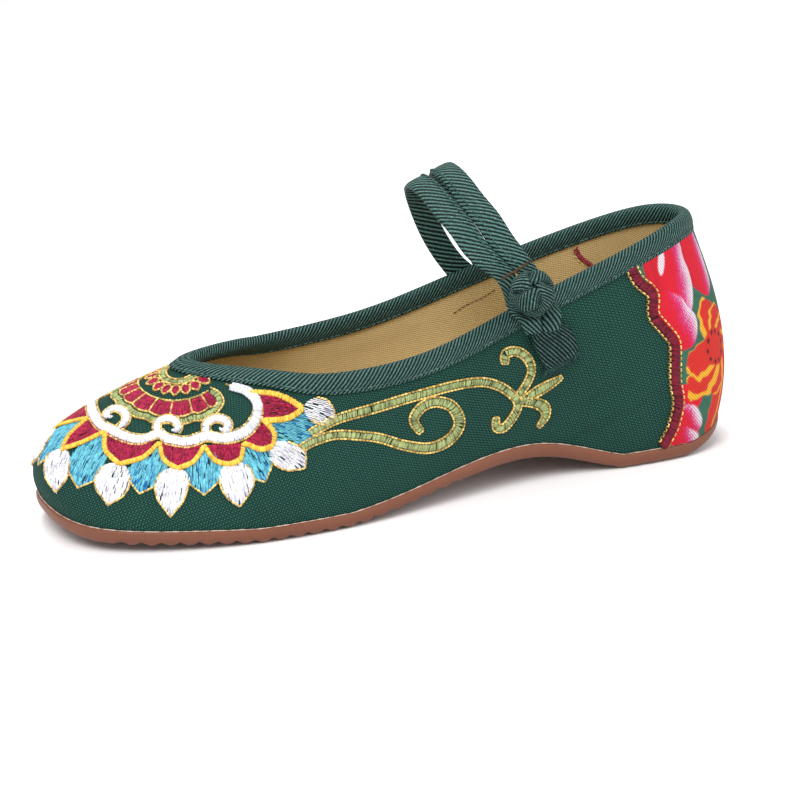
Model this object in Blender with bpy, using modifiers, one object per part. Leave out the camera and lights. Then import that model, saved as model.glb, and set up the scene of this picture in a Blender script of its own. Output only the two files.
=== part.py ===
"""Embroidered Chinese cloth shoe with a looped instep strap and a knotted button, left foot.

The toe points to -X, the wearer's left side (the button side) is -Y, and +Z is up.
The origin is on the floor under the ball of the foot. All sizes are in metres.

The shoe is worked out from one table of sections, RING, that runs once round the last: from the
back of the heel along the outer side to the toe, and back along the inner side. Each row gives
the lasting edge where cloth meets sole, the edge of the opening, and how the wall between
them bulges. Every piece takes its place from the wall that this table describes.
"""

import functools
import math

import bmesh
import bpy
import numpy as np
from mathutils import Vector

# Driving sizes
SHOE_LENGTH = 0.245
BALL_WIDTH = 0.082
COLLAR_HEIGHT = 0.0805
TOE_SPRING = 0.0065
SOLE_EDGE = 0.0052
SOLE_MARGIN = 0.0009
SOLE_UNDERCUT = 0.0022
RIB_PITCH = 0.0056
RIB_DEPTH = 0.0011
WALL = 0.0018
FOOTBED_HEIGHT = 0.0235
INSOLE_EDGE = 0.0032
BINDING_CLOTH = 0.0010
BINDING_OUTSIDE = 0.0078
BINDING_INSIDE = 0.0062
PANEL_CLOTH = 0.0006
EDGING_CLOTH = 0.0012
EDGING_WIDTH = 0.0042
STRAP_BAND = 0.0091
STRAP_CLOTH = 0.0016
STRAP_LAP = 0.018
BUTTON_DIAMETER = 0.0150
BUTTON_NECK = 0.0044
TAB_WIDTH = 0.0150
TAB_LENGTH = 0.0165
TAB_CLOTH = 0.0026
CLEARANCE = 0.0003

# Where the origin lies, as a share of the length from the toe: under the ball of the foot
BALL_ALONG = 0.355

HALF_BALL = BALL_WIDTH / 2

# One row for each section round the last. Lengths along are shares of SHOE_LENGTH from the toe,
# sideways ones are shares of half the ball width (minus is the outer side), lift is a share of
# TOE_SPRING, and heights are shares of COLLAR_HEIGHT. bed is the footbed's height, as a share of
# FOOTBED_HEIGHT. rise and bulge shape the wall as it leaves the sole, and reach and drop shape it
# as it comes to the opening.
COLUMNS = (
    "sole_along", "sole_side", "lift", "bed",
    "collar_along", "collar_side", "collar_up", "rise", "bulge", "reach", "drop",
)
RING = {
    "heel back":    (1.002, 0.00, 1.08, 1.00, 0.967, 0.00, 1.000, 0.36, 0.19, 0.140, 0.225),
    "outer heel":   (0.963, -0.51, 0.40, 1.00, 0.939, -0.29, 0.995, 0.34, 0.17, 0.093, 0.237),
    "outer seat":   (0.841, -0.65, -0.16, 0.97, 0.845, -0.55, 0.927, 0.35, 0.07, 0.044, 0.225),
    "outer waist":  (0.690, -0.68, 1.36, 0.84, 0.673, -0.68, 0.770, 0.25, 0.05, 0.050, 0.187),
    "outer instep": (0.510, -0.89, 0.60, 0.60, 0.539, -0.77, 0.644, 0.20, 0.07, 0.050, 0.150),
    "outer ball":   (0.355, -1.03, -0.10, 0.40, 0.416, -0.69, 0.595, 0.175, 0.07, 0.095, 0.125),
    "outer joint":  (0.206, -0.97, 0.20, 0.42, 0.345, -0.47, 0.601, 0.16, 0.07, 0.200, 0.066),
    "outer toe":    (0.076, -0.62, 0.50, 0.52, 0.293, -0.25, 0.613, 0.17, 0.11, 0.480, 0.115),
    "toe tip":      (0.040, 0.03, 0.86, 0.60, 0.249, 0.01, 0.628, 0.27, 0.25, 0.660, 0.107),
    "inner toe":    (0.076, 0.66, 0.50, 0.52, 0.293, 0.27, 0.625, 0.17, 0.11, 0.480, 0.120),
    "inner joint":  (0.206, 0.93, 0.20, 0.42, 0.345, 0.48, 0.610, 0.16, 0.07, 0.200, 0.066),
    "inner ball":   (0.355, 0.93, -0.10, 0.40, 0.416, 0.71, 0.595, 0.175, 0.07, 0.095, 0.125),
    "inner instep": (0.510, 0.78, 0.60, 0.60, 0.539, 0.73, 0.640, 0.20, 0.07, 0.050, 0.150),
    "inner waist":  (0.690, 0.62, 1.36, 0.84, 0.673, 0.67, 0.757, 0.25, 0.05, 0.050, 0.187),
    "inner seat":   (0.841, 0.63, -0.16, 0.97, 0.845, 0.53, 0.913, 0.35, 0.07, 0.044, 0.225),
    "inner heel":   (0.963, 0.47, 0.40, 1.00, 0.939, 0.27, 0.995, 0.34, 0.17, 0.093, 0.237),
}
SECTIONS = len(RING)
TOE = SECTIONS / 2
TABLE = np.array(list(RING.values()))

# How finely the faceted solids follow the last
STEPS_PER_SECTION = 6
WALL_ROWS = 9
MERIDIAN_SAMPLES = 60


def slopes_of(table):
    """The slope of each column at each row, so that a closed smooth curve runs through the rows."""
    count = len(table)
    ring = np.arange(count)
    left = np.zeros((count, count))
    left[ring, ring] = 4
    left[ring, (ring + 1) % count] = 1
    left[ring, (ring - 1) % count] = 1
    right = 3 * (np.roll(table, -1, axis=0) - np.roll(table, 1, axis=0))
    return np.linalg.solve(left, right)


SLOPES = slopes_of(TABLE)


def section(t):
    """The table's columns at ring position t: 0 is the back of the heel and TOE the toe tip."""
    row = int(math.floor(t)) % SECTIONS
    after = (row + 1) % SECTIONS
    f = t - math.floor(t)
    values = (
        (2 * f**3 - 3 * f**2 + 1) * TABLE[row]
        + (f**3 - 2 * f**2 + f) * SLOPES[row]
        + (3 * f**2 - 2 * f**3) * TABLE[after]
        + (f**3 - f**2) * SLOPES[after]
    )
    return dict(zip(COLUMNS, values))


def x_of(along):
    return (along - BALL_ALONG) * SHOE_LENGTH


def sole_bottom(t):
    """A point of the sole's lower outline, flat on the floor wherever the table would dip."""
    s = section(t)
    height = max(0.0, s["lift"]) * TOE_SPRING
    return Vector((x_of(s["sole_along"]), s["sole_side"] * HALF_BALL, height))


def lasting_edge(t):
    """Where the cloth wall starts, just above the sole's top face."""
    return sole_bottom(t) + Vector((0, 0, SOLE_EDGE + CLEARANCE))


def outward(t):
    """The level direction that points out of the shoe at t."""
    step = 0.02
    along = lasting_edge(t + step) - lasting_edge(t - step)
    return Vector((-along.y, along.x, 0)).normalized()


def collar(t):
    s = section(t)
    return Vector((x_of(s["collar_along"]), s["collar_side"] * HALF_BALL, s["collar_up"] * COLLAR_HEIGHT))


def skin(t, w):
    """A point of the cloth's outer face: w is 0 at the sole and 1 at the edge of the opening."""
    s = section(t)
    out = outward(t)
    up = Vector((0, 0, 1))
    start = lasting_edge(t)
    end = collar(t)
    leave = start + up * s["rise"] * COLLAR_HEIGHT + out * s["bulge"] * HALF_BALL
    arrive = end + out * s["reach"] * HALF_BALL - up * s["drop"] * COLLAR_HEIGHT
    v = 1 - w
    return start * v**3 + leave * (3 * v**2 * w) + arrive * (3 * v * w**2) + end * w**3


def skin_normal(t, w):
    step = 0.01
    low, high = max(0.0, w - step), min(1.0, w + step)
    up_wall = skin(t, high) - skin(t, low)
    round_wall = skin(t + step, w) - skin(t - step, w)
    return up_wall.cross(round_wall).normalized()


@functools.lru_cache(maxsize=None)
def meridian(t):
    """For one ring position: w, the height over the lasting edge and the way left to the collar."""
    w = np.linspace(0, 1, MERIDIAN_SAMPLES)
    points = np.array([skin(t, value) for value in w])
    lengths = np.linalg.norm(np.diff(points, axis=0), axis=1)
    to_collar = np.concatenate([np.cumsum(lengths[::-1])[::-1], [0.0]])
    return w, points[:, 2] - points[0, 2], to_collar


def w_below_collar(t, distance):
    """The wall parameter at a distance down the wall from the collar line."""
    w, _, to_collar = meridian(t)
    return float(np.interp(distance, to_collar[::-1], w[::-1]))


def w_at_height(t, height):
    """The wall parameter at a height above the lasting edge, low on the wall."""
    w, heights, _ = meridian(t)
    peak = int(np.argmax(heights)) + 1
    return float(np.interp(height, heights[:peak], w[:peak]))


def wall(t, distance, offset):
    """A point at a distance below the collar line and an offset out of the cloth's outer face."""
    w = w_below_collar(t, distance)
    return skin(t, w) + skin_normal(t, w) * offset


def ring_positions(per_section=STEPS_PER_SECTION):
    return [i / per_section for i in range(SECTIONS * per_section)]


def mesh_object(name, points, faces, collection):
    mesh = bpy.data.meshes.new(name)
    mesh.from_pydata([tuple(p) for p in points], [], faces)
    graph = bmesh.new()
    graph.from_mesh(mesh)
    bmesh.ops.remove_doubles(graph, verts=graph.verts, dist=1e-6)
    bmesh.ops.recalc_face_normals(graph, faces=graph.faces)
    graph.to_mesh(mesh)
    graph.free()
    obj = bpy.data.objects.new(name, mesh)
    collection.objects.link(obj)
    return obj


def grid_faces(rows, columns, close_rows=False, close_columns=False):
    """Quads between the points of a grid that is stored row by row."""
    faces = []
    for i in range(rows if close_rows else rows - 1):
        for j in range(columns if close_columns else columns - 1):
            below = (i + 1) % rows
            beside = (j + 1) % columns
            faces.append((i * columns + j, i * columns + beside, below * columns + beside, below * columns + j))
    return faces


def thicken(obj, thickness, offset=-1.0):
    """Gives an open sheet its cloth thickness. Offset -1 grows it inwards and 1 outwards."""
    solidify = obj.modifiers.new("cloth thickness", "SOLIDIFY")
    solidify.thickness = thickness
    solidify.offset = offset
    solidify.use_even_offset = True
    return obj


def face_outwards(obj):
    """Turns an open sheet so that its faces look away from the middle of the shoe."""
    mesh = obj.data
    middle = Vector((SHOE_LENGTH * (0.5 - BALL_ALONG), 0, 0))
    looks_out = sum((face.center - middle).dot(face.normal) * face.area for face in mesh.polygons)
    if looks_out < 0:
        mesh.flip_normals()
    return obj


def material(name, colour, roughness, metallic=0.0):
    made = bpy.data.materials.new(name)
    made.use_nodes = True
    shader = made.node_tree.nodes["Principled BSDF"]
    shader.inputs["Base Color"].default_value = (*colour, 1.0)
    shader.inputs["Roughness"].default_value = roughness
    shader.inputs["Metallic"].default_value = metallic
    return made


def finish(obj, paint, angle=35):
    obj.data.materials.append(paint)
    obj.data.shade_smooth()
    obj.data.set_sharp_from_angle(angle=math.radians(angle))
    return obj


# Outsole: a thin unit sole with wavy cross ribs under the forefoot and the heel
RIB_LAND = 0.45
RIB_FLANK = 0.18
SOLE_COLUMNS = 4
# Where the ribbed stretches start and end, as shares of the length from the toe
RIBBED = {"forefoot": (0.0835, 0.5835), "heel": (0.78, 0.955)}
# Plain stations between and beyond the ribs, as shares of the length from the toe
PLAIN = (
    0.0406, 0.0440, 0.050, 0.060, 0.072, 0.084, 0.590, 0.62, 0.65, 0.68, 0.71, 0.74, 0.765,
    0.965, 0.978, 0.988, 0.996, 1.0,
)


def rib_stations():
    """(share of the length, groove depth) of each edge of each rib, from toe to heel."""
    found = []
    for first, last in RIBBED.values():
        count = int((last - first) * SHOE_LENGTH / RIB_PITCH)
        pitch = (last - first) / count
        for i in range(count):
            start = first + i * pitch
            found.append((start + pitch * RIB_FLANK, 0.0))
            found.append((start + pitch * (RIB_FLANK + RIB_LAND), 0.0))
            found.append((start + pitch * (2 * RIB_FLANK + RIB_LAND), RIB_DEPTH))
            found.append((start + pitch, RIB_DEPTH))
    return found


def ring_position_at(along):
    """The outer side's ring position whose sole edge lies at that share of the length."""
    t = np.linspace(0, TOE, 400)
    shares = np.array([section(value)["sole_along"] for value in t])
    return float(np.interp(along, shares[::-1], t[::-1]))


def build_outsole(collection):
    stations = sorted(rib_stations() + [(share, 0.0) for share in PLAIN])
    points = []
    for share, groove in stations:
        t = ring_position_at(share)
        outer_t, inner_t = t, SECTIONS - t
        low = [sole_bottom(outer_t), sole_bottom(inner_t)]
        out = [outward(outer_t), outward(inner_t)]
        edge_up = Vector((0, 0, SOLE_EDGE))
        top = [low[i] + out[i] * SOLE_MARGIN + edge_up for i in (0, 1)]
        middle = [low[i] + out[i] * SOLE_MARGIN * 0.6 + edge_up * 0.45 for i in (0, 1)]
        tread = [low[i] - out[i] * SOLE_UNDERCUT + Vector((0, 0, groove)) for i in (0, 1)]
        loop = [top[0], middle[0]]
        loop += [tread[0].lerp(tread[1], k / SOLE_COLUMNS) for k in range(SOLE_COLUMNS + 1)]
        loop += [middle[1], top[1]]
        loop += [top[1].lerp(top[0], k / SOLE_COLUMNS) for k in range(1, SOLE_COLUMNS)]
        points += loop
    columns = len(loop)
    faces = grid_faces(len(stations), columns, close_columns=True)
    faces.append(tuple(reversed(range(columns))))
    faces.append(tuple(range(len(points) - columns, len(points))))
    return mesh_object("outsole", points, faces, collection)


# Insole: a cloth-topped footbed that thickens into a hidden heel lift
INSOLE_ROWS = 3
INSOLE_COLUMNS = 4
INSOLE_STEPS = 4


def footbed_point(t, share):
    """A point of the insole's side, share of the way up from the sole to the footbed's top."""
    s = section(t)
    bottom = sole_bottom(t).z + SOLE_EDGE + CLEARANCE
    top = max(s["bed"] * FOOTBED_HEIGHT, bottom + INSOLE_EDGE)
    height = share * (top - bottom)
    w = w_at_height(t, height)
    inside = skin(t, w) - skin_normal(t, w) * (WALL + 3 * CLEARANCE)
    inside.z = bottom + height
    return inside


def build_insole(collection):
    steps = int(TOE) * INSOLE_STEPS
    first = 0.25
    positions = [first + (TOE - 2 * first) * i / (steps - 1) for i in range(steps)]
    points = []
    for t in positions:
        outer = [footbed_point(t, k / INSOLE_ROWS) for k in range(INSOLE_ROWS + 1)]
        inner = [footbed_point(SECTIONS - t, k / INSOLE_ROWS) for k in range(INSOLE_ROWS + 1)]
        loop = list(outer)
        loop += [outer[-1].lerp(inner[-1], k / INSOLE_COLUMNS) for k in range(1, INSOLE_COLUMNS)]
        loop += list(reversed(inner))
        loop += [inner[0].lerp(outer[0], k / INSOLE_COLUMNS) for k in range(1, INSOLE_COLUMNS)]
        points += loop
    columns = len(loop)
    faces = grid_faces(len(positions), columns, close_columns=True)
    faces.append(tuple(reversed(range(columns))))
    faces.append(tuple(range(len(points) - columns, len(points))))
    return mesh_object("insole", points, faces, collection)


def build_upper(collection):
    """The canvas wall: one open ring from the lasting edge to the opening, given its thickness."""
    edge = BINDING_CLOTH + CLEARANCE
    points = []
    for t in ring_positions():
        top = w_below_collar(t, edge)
        points += [skin(t, top * i / (WALL_ROWS - 1)) for i in range(WALL_ROWS)]
    faces = grid_faces(SECTIONS * STEPS_PER_SECTION, WALL_ROWS, close_rows=True)
    return thicken(face_outwards(mesh_object("upper", points, faces, collection)), WALL)


def build_binding(collection):
    """The folded tape over the edge of the opening: its section is swept along the collar."""
    gap = CLEARANCE
    cloth = BINDING_CLOTH
    outer, inner = gap + cloth, -(WALL + gap + cloth)
    profile = (
        (BINDING_OUTSIDE, gap), (BINDING_OUTSIDE, outer), (cloth * 1.5, outer),
        (0.0, outer * 0.35), (0.0, inner * 0.75),
        (cloth * 1.5, inner), (BINDING_INSIDE, inner), (BINDING_INSIDE, -(WALL + gap)),
        (cloth, -(WALL + gap)), (cloth, gap),
    )
    points = []
    for t in ring_positions():
        points += [wall(t, distance, offset) for distance, offset in profile]
    faces = grid_faces(SECTIONS * STEPS_PER_SECTION, len(profile), close_rows=True, close_columns=True)
    return mesh_object("topline_binding", points, faces, collection)


# Heel panel of printed cotton. Its front edge is scalloped: each row is the share of the way
# down from the binding to the sole, and the ring position of the edge there
PANEL_EDGE = {
    "under binding": (0.00, 2.00), "first hollow": (0.09, 1.96), "first point": (0.18, 1.80),
    "second hollow": (0.29, 1.86), "second point": (0.46, 1.63), "third hollow": (0.66, 1.61),
    "third point": (0.77, 1.53), "last hollow": (0.90, 1.63), "at sole": (1.00, 1.75),
}
PANEL_ROWS = 11
PANEL_COLUMNS = 14
EDGING_COLUMNS = 3


def panel_edge(share):
    table = np.array(list(PANEL_EDGE.values()))
    return float(np.interp(share, table[:, 0], table[:, 1]))


def panel_point(t, share, offset):
    """A point over the cloth, share of the way down from the binding to the sole."""
    _, _, to_collar = meridian(t)
    start = BINDING_OUTSIDE + CLEARANCE
    return wall(t, start + share * (to_collar[0] - start), offset)


def panel_sheet(name, from_edge, to_edge, columns, cloth, collection):
    """A sheet on the heel between two ring positions, which are given for each row."""
    points = []
    for i in range(PANEL_ROWS + 1):
        share = i / PANEL_ROWS
        first, last = from_edge(share), to_edge(share)
        points += [
            panel_point(first + (last - first) * j / columns, share, CLEARANCE)
            for j in range(columns + 1)
        ]
    sheet = mesh_object(name, points, grid_faces(PANEL_ROWS + 1, columns + 1), collection)
    return thicken(face_outwards(sheet), cloth, offset=1.0)


def ring_step(metres, t):
    """A length along the shoe's side near ring position t as a difference in ring position."""
    step = 0.5
    return metres * step / (collar(t + step / 2) - collar(t - step / 2)).length


def build_heel_panel(collection):
    """The printed panel round the heel and a satin edging on each of its front edges."""
    edging = ring_step(EDGING_WIDTH, 1.75)
    seam = ring_step(CLEARANCE, 1.75)
    panel = panel_sheet(
        "heel_panel",
        lambda share: -(panel_edge(share) - edging - seam),
        lambda share: panel_edge(share) - edging - seam,
        PANEL_COLUMNS, PANEL_CLOTH, collection,
    )
    edgings = [
        panel_sheet(
            f"heel_edging_{side}",
            lambda share, way=way: way * (panel_edge(share) - edging),
            lambda share, way=way: way * panel_edge(share),
            EDGING_COLUMNS, EDGING_CLOTH, collection,
        )
        for side, way in (("outer", 1), ("inner", -1))
    ]
    return panel, edgings


# Strap: two tapes side by side. They are sewn down on the inner side's outer face, arch over the
# instep with a slit between them, run sewn together, and open into the loop round the button.
# Each row is across (share of HALF_BALL), along (share of the length from the toe), up (share of
# COLLAR_HEIGHT), tilt (degrees that the rear edge is raised), then the strap's half width and half
# the opening between its tapes (both shares of STRAP_BAND)
STRAP = {
    "over the inner rim": (0.744, 0.684, 0.835, 24, 1.00, 0.07),
    "inner rise":         (0.756, 0.662, 0.960, 26, 1.00, 0.07),
    "inner shoulder":     (0.680, 0.642, 1.090, 22, 1.00, 0.07),
    "before the crest":   (0.488, 0.624, 1.192, 22, 1.00, 0.07),
    "crest":              (0.268, 0.619, 1.212, 18, 1.00, 0.07),
    "slit's end":         (0.073, 0.622, 1.184, 17, 1.00, 0.07),
    "sewn start":         (-0.146, 0.627, 1.126, 16, 1.00, 0.00),
    "outer shoulder":     (-0.341, 0.633, 1.075, 15, 1.00, 0.00),
    "outer fall":         (-0.512, 0.640, 1.005, 14, 0.98, 0.00),
    "before the tack":    (-0.634, 0.650, 0.955, 14, 0.90, 0.00),
    "tack":               (-0.712, 0.662, 0.910, 14, 0.78, 0.00),
    "beside the button":  (-0.744, 0.673, 0.850, 12, 0.84, 0.44),
    "under the button":   (-0.770, 0.677, 0.790, 8, 0.88, 0.46),
    "loop turning out":   (-0.870, 0.679, 0.755, 3, 0.88, 0.44),
    "loop":               (-0.945, 0.680, 0.732, 0, 0.80, 0.00),
    "loop's end":         (-0.960, 0.680, 0.688, 0, 0.62, 0.00),
}
STRAP_STEPS = 2
STRAP_LAP_ROWS = 5
# The lap leans back down the inner wall, round this ring position at the rim
STRAP_LAP_AT = 13.16
STRAP_LEAN = 27


def smooth_rows(rows, steps):
    """More rows along an open curve that passes smoothly through the given ones."""
    table = np.array(rows, dtype=float)
    padded = np.vstack([2 * table[0] - table[1], table, 2 * table[-1] - table[-2]])
    found = []
    for i in range(len(table) - 1):
        before, start, end, after = padded[i:i + 4]
        for k in range(steps):
            f = k / steps
            found.append(0.5 * (
                2 * start + (end - before) * f
                + (2 * before - 5 * start + 4 * end - after) * f**2
                + (3 * start - before - 3 * end + after) * f**3
            ))
    found.append(table[-1])
    return found


def strap_columns(half_width, opening):
    """How far across the strap its lines of points lie: the tapes meet where opening is 0."""
    middle = (half_width + opening) / 2
    return (-half_width, -middle, -opening, opening, middle, half_width)


def strap_lap_point(way, across):
    """A point of the sewn-down lap: way is how far it lies down the tape from the rim."""
    lean = math.radians(STRAP_LEAN)
    distance = way * math.cos(lean) - across * math.sin(lean)
    along = way * math.sin(lean) + across * math.cos(lean)
    over_binding = 2 * CLEARANCE + BINDING_CLOTH
    return wall(STRAP_LAP_AT + ring_step(along, STRAP_LAP_AT), distance, over_binding)


def build_strap(collection):
    rows = []
    clear_of_rim = 1.1 * STRAP_BAND * math.tan(math.radians(STRAP_LEAN))
    for i in range(STRAP_LAP_ROWS):
        way = STRAP_LAP + (clear_of_rim - STRAP_LAP) * i / (STRAP_LAP_ROWS - 1)
        rows.append([strap_lap_point(way, across) for across in strap_columns(STRAP_BAND, 0.0)])
    for across, along, up, tilt, width, opening in smooth_rows(list(STRAP.values()), STRAP_STEPS):
        middle = Vector((x_of(along), across * HALF_BALL, up * COLLAR_HEIGHT))
        side = Vector((math.cos(math.radians(tilt)), 0, math.sin(math.radians(tilt))))
        opening = opening if opening > 0.02 else 0.0
        columns = strap_columns(STRAP_BAND * width, STRAP_BAND * opening)
        rows.append([middle + side * distance for distance in columns])
    columns = len(rows[0])
    faces = [
        face for face in grid_faces(len(rows), columns)
        if face[0] % columns != columns // 2 - 1
    ]
    strap = mesh_object("strap", [point for row in rows for point in row], faces, collection)
    return thicken(face_outwards(strap), STRAP_CLOTH, offset=1.0)


# Button: a ball tied from the same tape, whose neck runs through the loop down to the tab. The
# places are across (share of HALF_BALL), along (share of the length) and up (of COLLAR_HEIGHT)
BUTTON_AT = (-1.005, 0.666, 0.857)
BUTTON_PATH = ((-0.850, 0.672, 0.800), (-0.775, 0.682, 0.745), (-0.795, 0.687, 0.690))
BUTTON_ROWS = 8
BUTTON_SIDES = 16
NECK_ROWS = 5
BUTTON_LOBES = 3
LOBE_DEPTH = 0.07


def place(across, along, up):
    return Vector((x_of(along), across * HALF_BALL, up * COLLAR_HEIGHT))


def bezier(points, f):
    a, b, c, d = points
    v = 1 - f
    return a * v**3 + b * (3 * v**2 * f) + c * (3 * v * f**2) + d * f**3


def button_ring(centre, direction, radius, lobes):
    """One ring of points round the button or its neck, square to the direction."""
    side = direction.cross(Vector((1, 0, 0))).normalized()
    other = direction.cross(side).normalized()
    ring = []
    for i in range(BUTTON_SIDES):
        angle = 2 * math.pi * i / BUTTON_SIDES
        reach = radius * (1 + lobes * math.cos(BUTTON_LOBES * angle))
        ring.append(centre + side * reach * math.cos(angle) + other * reach * math.sin(angle))
    return ring


def build_button(collection):
    path = [place(*BUTTON_AT)] + [place(*entry) for entry in BUTTON_PATH]
    radius = BUTTON_DIAMETER / 2
    direction = (path[1] - path[0]).normalized()
    neck_angle = math.pi - math.asin(BUTTON_NECK / BUTTON_DIAMETER)
    rows = []
    for i in range(1, BUTTON_ROWS + 1):
        angle = neck_angle * i / BUTTON_ROWS
        lobes = LOBE_DEPTH * math.sin(angle) if i < BUTTON_ROWS else 0.0
        centre = path[0] - direction * radius * math.cos(angle)
        rows.append(button_ring(centre, direction, radius * math.sin(angle), lobes))
    first = 0.42
    for i in range(1, NECK_ROWS + 1):
        f = first + (1 - first) * i / NECK_ROWS
        along = (bezier(path, min(1, f + 0.01)) - bezier(path, f - 0.01)).normalized()
        rows.append(button_ring(bezier(path, f), along, BUTTON_NECK / 2, 0.0))
    points = [path[0] - direction * radius] + [point for row in rows for point in row]
    faces = [
        tuple(1 + corner for corner in face)
        for face in grid_faces(len(rows), BUTTON_SIDES, close_columns=True)
    ]
    faces += [(0, 1 + (i + 1) % BUTTON_SIDES, 1 + i) for i in range(BUTTON_SIDES)]
    faces.append(tuple(range(len(points) - BUTTON_SIDES, len(points))))
    return mesh_object("button_knot", points, faces, collection)


# Tab: the tail of the button's tape, sewn flat on the outer wall just under the binding. Each row
# is the share of TAB_LENGTH down from its top, its half width as a share of TAB_WIDTH, and the
# ring position of its middle
TAB = ((0.0, 0.24, 2.87), (0.12, 0.33, 2.85), (0.30, 0.45, 2.82), (0.55, 0.50, 2.78),
       (0.80, 0.50, 2.75), (1.0, 0.46, 2.73))
TAB_COLUMNS = 6


def build_tab(collection):
    points = []
    for share, half_width, t in TAB:
        distance = BINDING_OUTSIDE + 2 * CLEARANCE + share * TAB_LENGTH
        half = ring_step(half_width * TAB_WIDTH, t)
        points += [
            wall(t - half + 2 * half * i / TAB_COLUMNS, distance, CLEARANCE)
            for i in range(TAB_COLUMNS + 1)
        ]
    tab = mesh_object("button_tab", points, grid_faces(len(TAB), TAB_COLUMNS + 1), collection)
    return thicken(face_outwards(tab), TAB_CLOTH, offset=1.0)


def clear_scene():
    for obj in list(bpy.data.objects):
        bpy.data.objects.remove(obj, do_unlink=True)


def main():
    clear_scene()
    shoe = bpy.data.collections.new("cloth_shoe")
    bpy.context.scene.collection.children.link(shoe)
    canvas = material("green canvas", (0.012, 0.105, 0.066), 0.85)
    tape = material("green twill tape", (0.012, 0.065, 0.055), 0.6)
    rubber = material("amber rubber", (0.42, 0.15, 0.085), 0.4)
    lining = material("cream lining", (0.62, 0.42, 0.2), 0.9)
    cotton = material("printed cotton", (0.75, 0.03, 0.06), 0.8)
    satin = material("red satin stitch", (0.25, 0.005, 0.025), 0.45)
    finish(build_outsole(shoe), rubber)
    finish(build_insole(shoe), lining)
    finish(build_upper(shoe), canvas)
    finish(build_binding(shoe), tape)
    panel, edgings = build_heel_panel(shoe)
    finish(panel, cotton)
    for edging in edgings:
        finish(edging, satin)
    finish(build_strap(shoe), tape)
    finish(build_button(shoe), tape, angle=60)
    finish(build_tab(shoe), tape)


main()
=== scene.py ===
# %% [markdown]
# # An embroidered cloth shoe
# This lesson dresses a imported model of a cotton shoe: canvas, twill tape, satin stitch, printed
# cotton and rubber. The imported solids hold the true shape. Here each surface is made again with
# its own threads and weave, in the same place, from the same table of sections.

# %% Load the frame
import math

import bmesh
import bpy
import numpy as np
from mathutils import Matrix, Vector
from mathutils.kdtree import KDTree


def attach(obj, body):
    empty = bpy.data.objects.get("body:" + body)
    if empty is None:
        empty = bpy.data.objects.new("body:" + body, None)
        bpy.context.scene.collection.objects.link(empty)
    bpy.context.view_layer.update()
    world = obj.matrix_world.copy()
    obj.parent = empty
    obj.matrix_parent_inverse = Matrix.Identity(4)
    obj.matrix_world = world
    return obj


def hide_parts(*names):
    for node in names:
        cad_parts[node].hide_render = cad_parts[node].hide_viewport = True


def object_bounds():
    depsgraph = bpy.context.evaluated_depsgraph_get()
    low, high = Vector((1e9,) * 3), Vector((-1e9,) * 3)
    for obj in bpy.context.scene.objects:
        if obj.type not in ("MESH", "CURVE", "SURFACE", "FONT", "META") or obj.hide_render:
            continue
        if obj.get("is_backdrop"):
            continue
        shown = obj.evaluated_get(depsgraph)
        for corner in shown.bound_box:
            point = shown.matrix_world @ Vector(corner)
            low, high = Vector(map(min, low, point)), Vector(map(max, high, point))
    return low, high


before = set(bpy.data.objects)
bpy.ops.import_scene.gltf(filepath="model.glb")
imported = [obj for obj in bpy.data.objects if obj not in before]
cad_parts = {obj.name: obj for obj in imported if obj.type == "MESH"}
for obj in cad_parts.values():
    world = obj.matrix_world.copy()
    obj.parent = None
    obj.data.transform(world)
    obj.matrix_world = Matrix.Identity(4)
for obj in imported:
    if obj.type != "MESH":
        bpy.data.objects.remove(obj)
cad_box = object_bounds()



def add_object(name, data):
    obj = bpy.data.objects.new(name, data)
    bpy.context.scene.collection.objects.link(obj)
    return obj


print("nodes:", ", ".join(sorted(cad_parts)))

# %% [markdown]
# ## Camera, floor and light
# The picture is a studio view from the outer side, a little in front of the shoe and above it,
# through a long lens. The camera stands where such a lens sees the shoe the same way. Large area
# lights give soft shadows. The floor, one plain pale sheet, is laid at the end.

# %% Place the camera
MM = 0.001
CAMERA_AZIMUTH = math.radians(19.85)
CAMERA_HEIGHT_ANGLE = math.radians(15.86)
CAMERA_ROLL = math.radians(-2.43)
CAMERA_DISTANCE = 0.9018
CAMERA_LOOKS_AT = Vector((0.035025, 0.0, 0.040))
FOCAL_PIXELS = 2731.8
FRAME_PIXELS = 800
AXIS_PIXEL = (369.98, 366.52)
SENSOR = 36.0


def place_camera():
    level = math.cos(CAMERA_HEIGHT_ANGLE)
    back = Vector((
        -math.sin(CAMERA_AZIMUTH) * level,
        -math.cos(CAMERA_AZIMUTH) * level,
        math.sin(CAMERA_HEIGHT_ANGLE),
    ))
    right = Vector((0, 0, 1)).cross(back).normalized()
    up = back.cross(right)
    cos, sin = math.cos(CAMERA_ROLL), math.sin(CAMERA_ROLL)
    right, up = right * cos + up * sin, up * cos - right * sin
    place = CAMERA_LOOKS_AT + back * CAMERA_DISTANCE
    middle = FRAME_PIXELS / 2
    forward = -back * FOCAL_PIXELS + right * (middle - AXIS_PIXEL[0]) - up * (middle - AXIS_PIXEL[1])
    back = -forward.normalized()
    right = up.cross(back).normalized()
    up = back.cross(right)
    camera = add_object("camera", bpy.data.cameras.new("camera"))
    turn = np.array([right, up, back]).T
    for row in range(3):
        for column in range(3):
            camera.matrix_world[row][column] = turn[row][column]
        camera.matrix_world[row][3] = place[row]
    camera.data.sensor_width = SENSOR
    camera.data.lens = FOCAL_PIXELS * SENSOR / FRAME_PIXELS
    camera.data.clip_start = 0.01
    bpy.context.scene.camera = camera
    return camera


camera = place_camera()
print("camera at", [round(v, 3) for v in camera.matrix_world.translation])

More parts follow.
